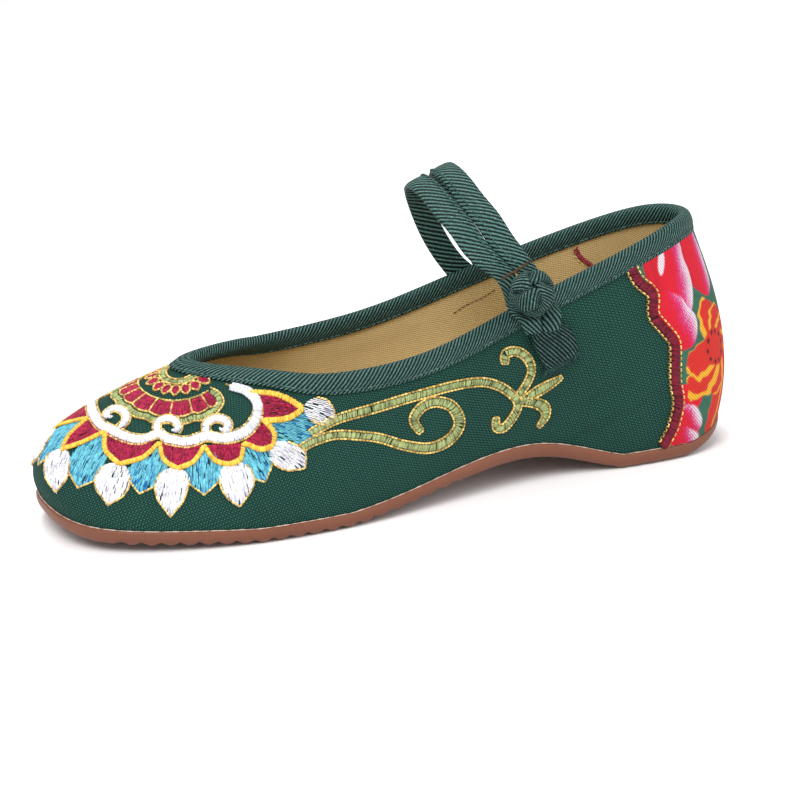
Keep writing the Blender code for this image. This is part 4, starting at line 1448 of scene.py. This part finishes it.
# %% Petals of the print
PRINT_GREEN = np.array((0.008, 0.140, 0.085))
PRINT_RED = np.array((0.66, 0.004, 0.020))
PRINT_PINK = np.array((0.60, 0.040, 0.29))
PRINT_WHITE = np.array((0.74, 0.66, 0.72))
PRINT_ORANGE = np.array((0.62, 0.022, 0.010))
PRINT_YELLOW = np.array((0.78, 0.42, 0.018))
PRINT_DARK = np.array((0.02, 0.004, 0.008))
PEONY_PETALS = (
    # base across, base down, tip across, tip down (mm from the back seam and the opening),
    # half width, how strongly the side towards the seam pales (negative: the side away from it)
    (44.0, -3.0, 41.5, 19.0, 5.8, 0.9), (24.0, -6.0, 18.0, 27.5, 8.8, 1.0),
    (40.6, -6.0, 32.1, 30.5, 8.6, 1.1),
    (44.5, 20.0, 31.0, 40.5, 7.2, 1.0), (3.0, -6.0, 2.0, 21.0, 6.4, -1.0),
    (-14.0, -6.0, -12.5, 28.0, 7.6, -1.0), (2.5, 24.0, 0.0, 47.0, 6.6, -1.0),
    (-31.0, -6.0, -27.0, 26.0, 8.2, -1.0), (-45.0, -2.0, -42.0, 18.0, 6.4, -0.5),
    (-45.0, 18.0, -32.0, 39.0, 7.0, -1.0),
    (46.0, 55.0, 30.0, 61.0, 5.5, 0.0), (44.0, 60.0, 33.0, 84.0, 7.5, 0.0),
    (41.0, 60.0, 30.5, 71.5, 5.6, 1.2),
    (40.0, 68.0, 31.0, 81.5, 5.4, 1.2), (-42.0, 58.0, -29.0, 70.0, 6.0, -0.9),
    (-38.0, 68.0, -25.0, 80.0, 6.2, -0.9),
)
FIRE_FLOWERS = ((21.0, 45.6, 0.0), (-19.0, 46.0, 24.0))
FIRE_PETALS = (
    # turn (degrees from straight up, towards the front), length, half width (mm), share of red
    (8, 17.0, 5.0, 0.84), (-24, 14.0, 5.4, 0.90), (-66, 13.5, 5.8, 0.90), (-108, 13.5, 6.0, 0.88),
    (-146, 15.0, 6.0, 0.84), (176, 15.5, 5.6, 0.86), (138, 17.5, 7.0, 0.76), (106, 13.5, 6.2, 0.80),
)
FLAMES = (
    # base across, base down, tip across, tip down, half width (mm), share of red
    (11.0, 52.0, 18.5, 84.0, 4.8, 0.84), (19.0, 54.0, 25.0, 75.0, 3.4, 0.84),
    (-2.0, 54.0, 3.0, 84.0, 4.8, 0.84), (-12.0, 54.0, -18.0, 80.0, 4.4, 0.84),
)
WHITE_DROPS = (
    # across, down, half width, half height (mm)
    (40.3, 9.5, 1.7, 4.2), (-37.5, 10.5, 1.7, 4.2),
)
DISC_OUT, DISC_IN = 6.9, 6.1
DOTS = 10


def soft_step(low, high, value):
    share = np.clip((value - low) / (high - low), 0, 1)
    return share * share * (3 - 2 * share)


def petal_shares(across, down, row):
    """Along the petal (0 base, 1 tip), across it (-1 to 1 inside), and its profile there."""
    a0, d0, a1, d1, half = row[:5]
    way = np.array((a1 - a0, d1 - d0))
    length = np.linalg.norm(way)
    way = way / length
    x, y = across - a0, down - d0
    along = (x * way[0] + y * way[1]) / length
    beside = (x * -way[1] + y * way[0]) / half
    profile = np.sqrt(np.clip(1 - np.abs(2 * np.clip(along, -0.1, 1.1) - 1.05) ** 2.6, 0, 1))
    return along, beside, profile


def blend(colours, mask, colour):
    """The first colours where the mask is 0, and the other where it is 1."""
    return colours * (1 - mask[..., None]) + colour * mask[..., None]


def peony(colours, x, y, row):
    """Red at the base, airbrushed through pink to white at the rim."""
    along, beside, profile = petal_shares(x, y, row)
    inside = soft_step(0.0, 0.06, profile - np.abs(beside)) * (along > -0.05) * (along < 1.06)
    side = row[5]
    near_rim = beside * side + (along - 0.62) * 0.9 * abs(side)
    grain = 0.26 * np.sin(x * 7.7 + 3 * y + 2 * np.sin(y * 3.1)) * np.sin(y * 6.3 - 2 * x)
    pale, whiter = soft_step(0.10, 0.75, near_rim + grain), soft_step(0.50, 0.95, near_rim + grain)
    tone = blend(blend(PRINT_RED, pale, PRINT_PINK), whiter, PRINT_WHITE)
    shade = 0.35 * soft_step(-0.45, -1.0, beside * np.sign(side + 0.01))
    return blend(colours, inside, blend(tone, shade, PRINT_RED * 0.35))


def flame(colours, x, y, row):
    """An orange-red tongue with a ragged yellow edge, thicker on one side."""
    for rim, colour in ((1.0, PRINT_YELLOW), (row[5], PRINT_ORANGE)):
        along, beside, profile = petal_shares(x, y, row)
        ragged = 0.14 * np.sin(along * 23 + row[0]) * soft_step(0.3, 1.0, along)
        shifted = np.abs(beside + (0.16 if rim < 1 else 0.0))
        inside = soft_step(0.0, 0.10, profile * rim + ragged * rim - shifted)
        colours = blend(colours, inside * (along > 0) * (along < 1.05 - (1 - rim) * 0.5), colour)
    return colours


def painted_print(across, down):
    wobble = 0.45 * np.sin(across * 0.55 + 1.3) * np.cos(down * 0.48)
    x, y = across + wobble, down + 0.7 * wobble
    colours = np.broadcast_to(PRINT_GREEN, (*across.shape, 3)).copy()
    vein = np.exp(-((np.sin((x + y) * 0.42) / 0.12) ** 2)) * 0.5
    colours = blend(colours, vein, PRINT_GREEN * 0.4)
    for row in PEONY_PETALS:
        colours = peony(colours, x, y, row)
    for row in FLAMES:
        colours = flame(colours, x, y, row)
    for centre_x, centre_y, turn in FIRE_FLOWERS:
        for degrees, length, half, red_share in FIRE_PETALS:
            angle = math.radians(degrees + turn)
            tip = (centre_x + length * math.sin(angle), centre_y - length * math.cos(angle))
            colours = flame(colours, x, y, (centre_x, centre_y, *tip, half, red_share))
        away = np.hypot(x - centre_x, y - centre_y)
        colours = blend(colours, soft_step(DISC_OUT, DISC_IN, away), PRINT_ORANGE)
        for dot in range(DOTS):
            angle = 2 * math.pi * dot / DOTS
            gap = np.hypot(x - centre_x - 4.2 * math.cos(angle), (y - centre_y - 5.2 * math.sin(angle)) / 1.4)
            colours = blend(colours, soft_step(0.75, 0.45, gap), PRINT_DARK)
    for drop_x, drop_y, half_x, half_y in WHITE_DROPS:
        inside = soft_step(1.1, 0.85, np.hypot((x - drop_x) / half_x, (y - drop_y) / half_y))
        colours = blend(colours, inside, PRINT_WHITE)
    return colours


# %% [markdown]
# ## Cutting the panel
# The panel's front edges are scalloped, and each lies under a satin edging. The grid follows
# those edges row by row, so the cloth ends exactly where the edging starts.

# %% Make the panel
PANEL_EDGE = np.array((
    # share of the way down, ring position
    (0.00, 2.00), (0.09, 1.96), (0.18, 1.80), (0.29, 1.86), (0.46, 1.63), (0.66, 1.61), (0.77, 1.53),
    (0.90, 1.63), (1.00, 1.75),
))
EDGING_SHIFT = (
    # share of the way down, how far the photograph's edge stands from the solid's (ring position)
    (0.0, 0.07), (0.09, 0.04), (0.30, 0.0), (0.46, -0.03), (0.64, 0.02), (0.77, 0.06), (0.90, 0.03),
    (1.0, 0.03))
PANEL_TOP = BINDING_OUTSIDE - 0.0012
PANEL_ROWS, PANEL_COLUMNS = 190, 250
PANEL_OUTSIDE, PANEL_INSIDE = 0.00075, 0.0002
PANEL_BELT = 0.55


def smooth_edge(share):
    """The edge's ring position at a share of the way down, rounded between its corners."""
    spread = np.linspace(-0.03, 0.03, 7)
    return np.mean([np.interp(np.asarray(share) + s, PANEL_EDGE[:, 0], PANEL_EDGE[:, 1]) for s in spread], 0)


def edging_t(share):
    return smooth_edge(share) - 0.05 + np.interp(share, *zip(*EDGING_SHIFT))


def share_distance(t, share):
    deepest = distance_below(t, np.zeros(np.shape(t)))
    return PANEL_TOP + share * (deepest - PANEL_TOP)


share = np.linspace(0, 1, PANEL_ROWS)[:, None]
t = edging_t(share) * np.linspace(-1, 1, PANEL_COLUMNS)[None, :]
down = share_distance(t, share)
w = w_below(t, down)
outer_face, inner_face = cloth(t, w, PANEL_OUTSIDE), cloth(t, w, PANEL_INSIDE)
arc_t = np.linspace(-3, 3, 601)
arc_length = lengths_along(last_skin(arc_t, PANEL_BELT)) / MM
arc_length -= np.interp(0, arc_t, arc_length)
across_mm = np.interp(t, arc_t, arc_length)
points = np.concatenate([outer_face, inner_face[:, ::-1]], 1)
uv = np.stack([across_mm, down / MM], -1)
uv = np.concatenate([uv, uv[:, ::-1], uv[:, :1]], 1)
paint = Paint("printed cotton")
u, v = paint.cloth_map()
printed = paint.node("ShaderNodeAttribute", attribute_name="print").outputs["Color"]
rib = twill(u, v, 0.70, 35, 0.5, 1.2)
worn = (paint.noise(90.0, 3.0) - 0.5) * 0.22 + 0.92
# painted shade: the print is mixed towards a dark red in the grooves of its twill; worn is an uneven tone
shaded = paint.mix(((rib * 0.62 + 0.42) * worn).clamped(), (0.07, 0.012, 0.02), printed)
cotton = paint.finish(shaded, 0.75, paint.bump(rib, 0.00012), Specular_IOR_Level=0.2)
panel = grid_piece("printed_heel_panel", points, cotton, uv, tube=True, cap=True)
shown = np.array([v.uv[:] for v in panel.data.uv_layers[0].data])
colour_layer = panel.data.color_attributes.new("print", "FLOAT_COLOR", "CORNER")
tone = painted_print(shown[:, 0], shown[:, 1])
colour_layer.data.foreach_set("color", np.concatenate([tone, np.ones((len(tone), 1))], 1).ravel())
hand_over(panel, "printed cotton", "heel_panel")

# %% [markdown]
# ## The satin edging
# A band of deep red satin stitch hides each raw front edge of the panel, with a row of gold
# running stitch on both sides. It is sewn like the vines, over a low padded ridge.

# %% Sew the edgings
SATIN_WIDTH = 3.6
STOPS_SHORT = 0.4
GOLD_AT, GOLD_PITCH = 2.12, 1.9
PAD_SECTION = ((-1.7, 0.1), (-1.5, 0.6), (-0.7, 0.9), (0.7, 0.9), (1.5, 0.6), (1.7, 0.1))
share = np.linspace(0, 1, 40)
centre_t = edging_t(share)
rows = [(a, b, SATIN_WIDTH) for a, b in zip(centre_t, share_distance(centre_t, share) / MM)]
rows[-1] = (rows[-1][0], rows[-1][1] - STOPS_SHORT, SATIN_WIDTH)
deep, gilt = [], []
for mirrored in (False, True):
    deep.append(wall_band(rows, mirrored, rise=1.05, spacing=0.34, round_ends=False))
    for way in (-1, 1):
        gilt.append(wall_dashes(rows, way * GOLD_AT, mirrored, 0.95, GOLD_PITCH))
spin("heel_edging_satin_stitches", np.concatenate(deep), "deep red", 0.00024, "red satin stitch")
spin("heel_edging_gold_stitches", np.concatenate(gilt), "gold", 0.00028, "red satin stitch")


for side_name, mirrored in (("outer", False), ("inner", True)):
    _, t, w, _ = wall_path(rows, mirrored, 0.6)
    here, out, _, across = wall_frame(t, w)
    points = np.stack([here + across * a * MM + out * b * MM for a, b in PAD_SECTION], 1)
    make_piece(
        "heel_edging_pad_" + side_name, points, THREADS["deep red"], "red satin stitch",
        "heel_edging_" + side_name, cap=True)

# %% [markdown]
# ## Seams and traces of sewing
# A row of pale green stitches holds the binding down on both faces. On the lining the back of the
# edging's embroidery shows, and so does an odd line of brown thread.

# %% Sew the binding's seam and the lining's traces
BINDING_SEAMS = (
    # distance below the opening, offset from the cloth's face (mm), side that the stitches face
    (6.05, 0.80, 1), (5.4, -2.55, -1),
)
t_seam = np.linspace(0, SECTIONS, 4001)
seam_out = last_normal(t_seam, w_below(t_seam, 0.0065))
seams = [
    dashes_along(wall(t_seam, below * MM, offset * MM), side_way * seam_out, 0.32, 1.9)
    for below, offset, side_way in BINDING_SEAMS
]
spin("binding_seam_stitches", np.concatenate(seams), "pale green", 0.00017, "green twill tape")
trace = [row[:2] + (1.6,) for row in rows if 7.0 < row[1] < 30.0]
traces = [wall_band(trace, mirrored, 0.35, 0.7, False, True) for mirrored in (False, True)]
spin("lining_red_threads", np.concatenate(traces), "red", 0.00022, "cream lining")
traces = [wall_dashes(trace, 1.3, mirrored, 0.3, 2.0, True) for mirrored in (False, True)]
spin("lining_gold_threads", np.concatenate(traces), "gold", 0.00020, "cream lining")
brown_line = ((12.93, 13.6, 0.0), (13.05, 12.6, 0.0), (13.2, 12.4, 0.0), (13.31, 11.4, 0.0))
traces = wall_dashes(brown_line, 0.0, False, 0.2, 1.7, True)
spin("lining_brown_threads", traces, "brown", 0.00016, "cream lining")

# %% [markdown]
# ## The strap
# Two folded tapes lie side by side. They are sewn down over the far rim's binding, stand up over the
# instep with a slit between them, run on sewn together, and open round the button. Each tape is
# a soft-edged section carried along the strap's own path.

# %% The strap's path
STRAP = (
    # across in half balls, along, up in collar heights, tilt (degrees), width, how far it is open
    (0.744, 0.684, 0.835, 24, 1.00, 0.07), (0.756, 0.662, 0.960, 26, 1.00, 0.07),
    (0.680, 0.642, 1.090, 22, 1.00, 0.07), (0.488, 0.624, 1.192, 22, 1.00, 0.07),
    (0.268, 0.619, 1.212, 18, 1.00, 0.07), (0.073, 0.622, 1.184, 17, 1.00, 0.07),
    (-0.146, 0.627, 1.126, 16, 1.00, 0.00), (-0.341, 0.633, 1.075, 15, 1.00, 0.00),
    (-0.512, 0.640, 1.005, 14, 0.98, 0.00), (-0.634, 0.650, 0.955, 14, 0.90, 0.00),
    (-0.712, 0.662, 0.910, 14, 0.78, 0.00), (-0.744, 0.673, 0.850, 12, 0.84, 0.44),
    (-0.770, 0.677, 0.790, 8, 0.88, 0.46), (-0.870, 0.679, 0.755, 3, 0.88, 0.44),
    (-0.945, 0.680, 0.732, 0, 0.80, 0.00), (-0.960, 0.680, 0.688, 0, 0.62, 0.00),
)
STRAP_BAND = 0.0091
STRAP_CLOTH = 0.0016
STRAP_LAP = 0.018
BINDING_CLOTH = 0.0010
STRAP_LAP_AT = 13.16
STRAP_LEAN = math.radians(27)
LAP_ROWS = 12
ROW_STEPS = 7


def ring_step(metres, t):
    ends = last_skin(np.array((t - 0.25, t + 0.25)), np.ones(2))
    return metres * 0.5 / np.linalg.norm(ends[1] - ends[0])


def lap_place(way, across):
    distance = way * math.cos(STRAP_LEAN) - across * math.sin(STRAP_LEAN)
    along = way * math.sin(STRAP_LEAN) + across * math.cos(STRAP_LEAN)
    return wall(STRAP_LAP_AT + ring_step(along, STRAP_LAP_AT), distance, 2 * CLEARANCE + BINDING_CLOTH)


rise = smooth_rows(STRAP, ROW_STEPS)
arch = place(x_of(rise[:, 1]), rise[:, 0] * HALF_BALL, rise[:, 2] * COLLAR_HEIGHT)
tilt = np.radians(rise[:, 3])
arch_side = place(np.cos(tilt), 0 * tilt, np.sin(tilt))
clear_of_rim = 1.1 * STRAP_BAND * math.tan(STRAP_LEAN)
ways = np.linspace(STRAP_LAP, clear_of_rim, LAP_ROWS)
lap = np.array([lap_place(way, 0.0) for way in ways])
lap_side = unit(np.array([lap_place(way, STRAP_BAND) - lap_place(way, -STRAP_BAND) for way in ways]))
strap_middle = np.concatenate([lap, arch])
strap_side = np.concatenate([lap_side, arch_side])
strap_half = np.concatenate([np.full(LAP_ROWS, 1.0), rise[:, 4]]) * STRAP_BAND
strap_open = np.concatenate([np.full(LAP_ROWS, 0.0), np.clip(rise[:, 5], 0, 1)]) * STRAP_BAND
for _ in range(3):
    strap_side[1:-1] = unit(strap_side[:-2] + 2 * strap_side[1:-1] + strap_side[2:])
    strap_middle[1:-1] = (strap_middle[:-2] + 2 * strap_middle[1:-1] + strap_middle[2:]) / 4
ahead = unit(np.gradient(strap_middle, axis=0))
strap_out = unit(np.cross(strap_side, ahead))
if (strap_out[len(strap_out) // 2] * UP).sum() < 0:
    strap_out = -strap_out
strap_way = lengths_along(strap_middle) / MM
print("strap length", round(float(strap_way[-1]), 1), "mm")


# %% Make the two tapes
def tape_section(sides, roundness):
    """A flat, soft-edged section: places from -1 to 1 across and 0 to 1 up."""
    angle = np.linspace(0, 2 * np.pi, sides, endpoint=False)
    x = np.sign(np.cos(angle)) * np.abs(np.cos(angle)) ** (2 / roundness)
    y = np.sign(np.sin(angle)) * np.abs(np.sin(angle)) ** (2 / roundness)
    return x, (y + 1) / 2


TAPE_THICK = STRAP_CLOTH * 1.15
TAPE_GAP = 0.00006
CROWN = 0.00035
PUCKER = 0.00012


def tape(way):
    x, y = tape_section(20, 3.2)
    half = (strap_half - strap_open) / 2 - TAPE_GAP
    centre = strap_middle + strap_side * (way * (strap_half + strap_open) / 2)[:, None]
    crown = CROWN * (1 - x**2)
    pucker = PUCKER * np.sin(strap_way * 2.1 + way) * (strap_open < 0.0002)
    height = y[None, :] * TAPE_THICK + crown[None, :] * (y > 0.5) + pucker[:, None] * (y > 0.5)[None, :]
    return (
        centre[:, None] + strap_side[:, None] * (half[:, None] * x[None, :])[..., None]
        + strap_out[:, None] * height[..., None]
    )


make_piece("strap_tape_front", tape(-1), strap_tape, "green twill tape", "strap", cap=True)
make_piece("strap_tape_rear", tape(1), strap_tape, "green twill tape", cap=True)

# %% [markdown]
# ## Sewing on the strap
# A machine seam runs down both sides of the slit, and a bar of three thin brown threads closes
# the loop just above the button.


# %% Seam stitches and the tack
STRAP_TACK = (
    # along the strap, across it, up from its underside (mm)
    (0.6, -6.4, 1.9), (-0.1, -3.2, 2.32), (-0.9, 3.2, 2.32), (-1.6, 6.4, 1.9),
)
SEAM_BESIDE, SEAM_STITCH, SEAM_PITCH = 1.9, 1.35, 2.1
SEAM_LOW, SEAM_HIGH = 1.2, 2.36


def strap_place(way_mm, across_mm, up_mm):
    at, side_at, out_at = (
        places_at(way_mm, strap_way, places) for places in (strap_middle, strap_side, strap_out))
    return at + unit(side_at) * across_mm * MM + unit(out_at) * up_mm * MM


def strap_stitch(way_mm, across_mm):
    profile = ((0.0, SEAM_LOW), (0.2, SEAM_HIGH), (0.8, SEAM_HIGH), (1.0, SEAM_LOW))
    return [strap_place(way_mm + SEAM_STITCH * share, across_mm, lift) for share, lift in profile]


row_way = lambda index: strap_way[LAP_ROWS + index * ROW_STEPS]
seam_start, tack = row_way(1), row_way(10)
seam = [
    strap_stitch(way, side_way * SEAM_BESIDE)
    for way in np.arange(seam_start, tack - 1.5, SEAM_PITCH) for side_way in (-1, 1)
]
spin("strap_seam_stitches", seam, "green", 0.00021, "green twill tape")
bar = [
    [strap_place(tack + way + 0.25 * index, across, up) for way, across, up in STRAP_TACK]
    for index in range(3)
]
spin("strap_tack_stitches", bar, "brown", 0.00011, "green twill tape")

# %% [markdown]
# ## The knotted button
# The button is a ball knot: one cord of folded tape that passes over and under itself round a
# ball, three times about and four times up and down. The same rule that draws such a knot on
# paper gives its path here, with a height that swings above and below the ball's face.

# %% Tie the knot
BUTTON_CENTRE = np.array(((0.666 - BALL_ALONG) * SHOE_LENGTH, -1.005 * HALF_BALL, 0.857 * COLLAR_HEIGHT))
BALL_RADIUS = 0.0056
OVER_UNDER = 0.00085
FARTHEST_LATITUDE = math.radians(55)
KNOT_TAPE_WIDTH, KNOT_TAPE_THICK = 0.0060, 0.0027
LEADS, BIGHTS = 3, 4
POLE = unit(np.array((-0.22, -0.80, 0.55)))
EAST = unit(np.cross(POLE, UP))
NORTH = np.cross(EAST, POLE)


def swept(path, outs, width, thick, closed):
    """A soft tape section carried along a path whose outer side faces outs."""
    ahead = (np.roll(path, -1, axis=0) - np.roll(path, 1, axis=0)) if closed else np.gradient(path, axis=0)
    ahead = unit(ahead)
    across = unit(np.cross(outs, ahead))
    outs = unit(np.cross(ahead, across))
    x, y = tape_section(14, 2.6)
    width = np.broadcast_to(width, len(path))
    return (
        path[:, None] + across[:, None] * (x[None, :] * width[:, None] / 2)[..., None]
        + outs[:, None] * ((y - 0.5) * thick)[None, :, None]
    )


s = np.linspace(0, 2 * np.pi, 420, endpoint=False)
longitude, latitude = LEADS * s, FARTHEST_LATITUDE * np.cos(BIGHTS * s)
outs = (
    np.cos(latitude)[:, None] * (np.cos(longitude)[:, None] * EAST + np.sin(longitude)[:, None] * NORTH)
    + np.sin(latitude)[:, None] * POLE
)
radius = BALL_RADIUS + OVER_UNDER * np.sin(2 * BIGHTS * s)
path = BUTTON_CENTRE + outs * radius[:, None]
width = KNOT_TAPE_WIDTH + 0.0006 * np.sin(5 * s)
points = swept(path, outs, width, KNOT_TAPE_THICK, True)
make_piece("button_knot_tape", points, knot_tape, "green twill tape", "button_knot", ring=True)

# %% Core and neck of the button
CORE_RADIUS = 0.0053
NECK_WIDTH, NECK_THICK = 0.0062, 0.0036
polar_angle = np.linspace(0.02, math.pi - 0.02, 18)[:, None]
turn = np.linspace(0, 2 * np.pi, 24, endpoint=False)[None, :]
ball = (
    np.sin(polar_angle)[..., None] * (np.cos(turn)[..., None] * EAST + np.sin(turn)[..., None] * NORTH)
    + (np.cos(polar_angle) * np.ones(turn.shape))[..., None] * POLE
)
points, uv = BUTTON_CENTRE + ball * CORE_RADIUS, map_of(ball * 0.005, False, True)
make_piece("button_core", points, knot_tape, "green twill tape", uv=uv, cap=True)
NECK = (
    # across in half balls, along, up in collar heights
    (-0.850, 0.672, 0.800), (-0.775, 0.682, 0.745), (-0.795, 0.687, 0.690),
)
neck_points = [BUTTON_CENTRE] + [
    np.array((x_of(along), across * HALF_BALL, up * COLLAR_HEIGHT)) for across, along, up in NECK]
f = np.linspace(0.25, 1, 24)[:, None]
neck_path = (
    neck_points[0] * (1 - f) ** 3 + neck_points[1] * (3 * (1 - f) ** 2 * f)
    + neck_points[2] * (3 * (1 - f) * f**2) + neck_points[3] * f**3
)
points = swept(neck_path, np.tile((0.0, -1.0, 0.0), (24, 1)), NECK_WIDTH, NECK_THICK, False)
make_piece("button_neck", points, knot_tape, "green twill tape", cap=True)

# %% [markdown]
# ## The tab
# The tail of the button's tape lies flat on the wall under the binding, sewn down at its top,
# with its cut end left to fray into loose threads.

# %% Make the tab and its fray
TAB = (
    # share down, half width as a share of the width, ring position of its middle
    (0.0, 0.24, 2.87), (0.12, 0.33, 2.85), (0.30, 0.45, 2.82), (0.55, 0.50, 2.78), (0.80, 0.50, 2.75),
    (1.0, 0.46, 2.73),
)
TAB_WIDTH, TAB_LENGTH, TAB_CLOTH = 0.0150, 0.0165, 0.0026
FRAY_THREADS = 260
rows = smooth_rows(TAB, 6)
x, y = tape_section(28, 3.6)
points = []
for share_down, half_share, t_middle in rows:
    half = ring_step(half_share * TAB_WIDTH, t_middle)
    puff = 1 - 0.25 * share_down
    points.append(wall(
        t_middle + half * x, BINDING_OUTSIDE + share_down * TAB_LENGTH,
        CLEARANCE * 0.5 + y * TAB_CLOTH * puff + 0.0002 * np.sin(x * 9) * (y > 0.5)))
make_piece("button_tab_cloth", np.array(points), tab_tape, "green twill tape", "button_tab", cap=True)
fray = []
for _ in range(FRAY_THREADS):
    at = dice.uniform(-1, 1)
    t_end = t_middle + half * at
    lift = dice.uniform(0.2, 1.9) * MM
    down_by, drift = dice.uniform(0.8, 2.6) * MM, dice.normal(0, 0.035)
    steps = np.array((-0.8 * MM, 0.0, down_by * 0.5, down_by))
    fray.append(wall(
        t_end + drift * np.array((0, 0.1, 0.5, 1.0)), BINDING_OUTSIDE + TAB_LENGTH + steps,
        lift + np.array((0, 0.1, 0.3, 0.2)) * MM * dice.normal(0, 1.2)))
spin("tab_fray_threads", fray, "green", 0.00009, "green twill tape", 4)

# %% Floor and sizes
paint = Paint("pale floor")
paper = paint.finish(paint.mix(paint.noise(6.0), (0.86, 0.86, 0.86), (0.90, 0.90, 0.90)), 0.9)
FLOOR_HALF = 2.5
mesh = bpy.data.meshes.new("floor")
corners = [(x * FLOOR_HALF, y * FLOOR_HALF, 0) for x, y in ((-1, -1), (1, -1), (1, 1), (-1, 1))]
mesh.from_pydata(corners, [], [(0, 1, 2, 3)])
mesh.materials.append(paper)
floor = add_object("floor", mesh)
floor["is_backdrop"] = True
plain = lambda box: [[float(value) for value in corner] for corner in box]
{"cad": plain(cad_box), "visual": plain(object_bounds())}
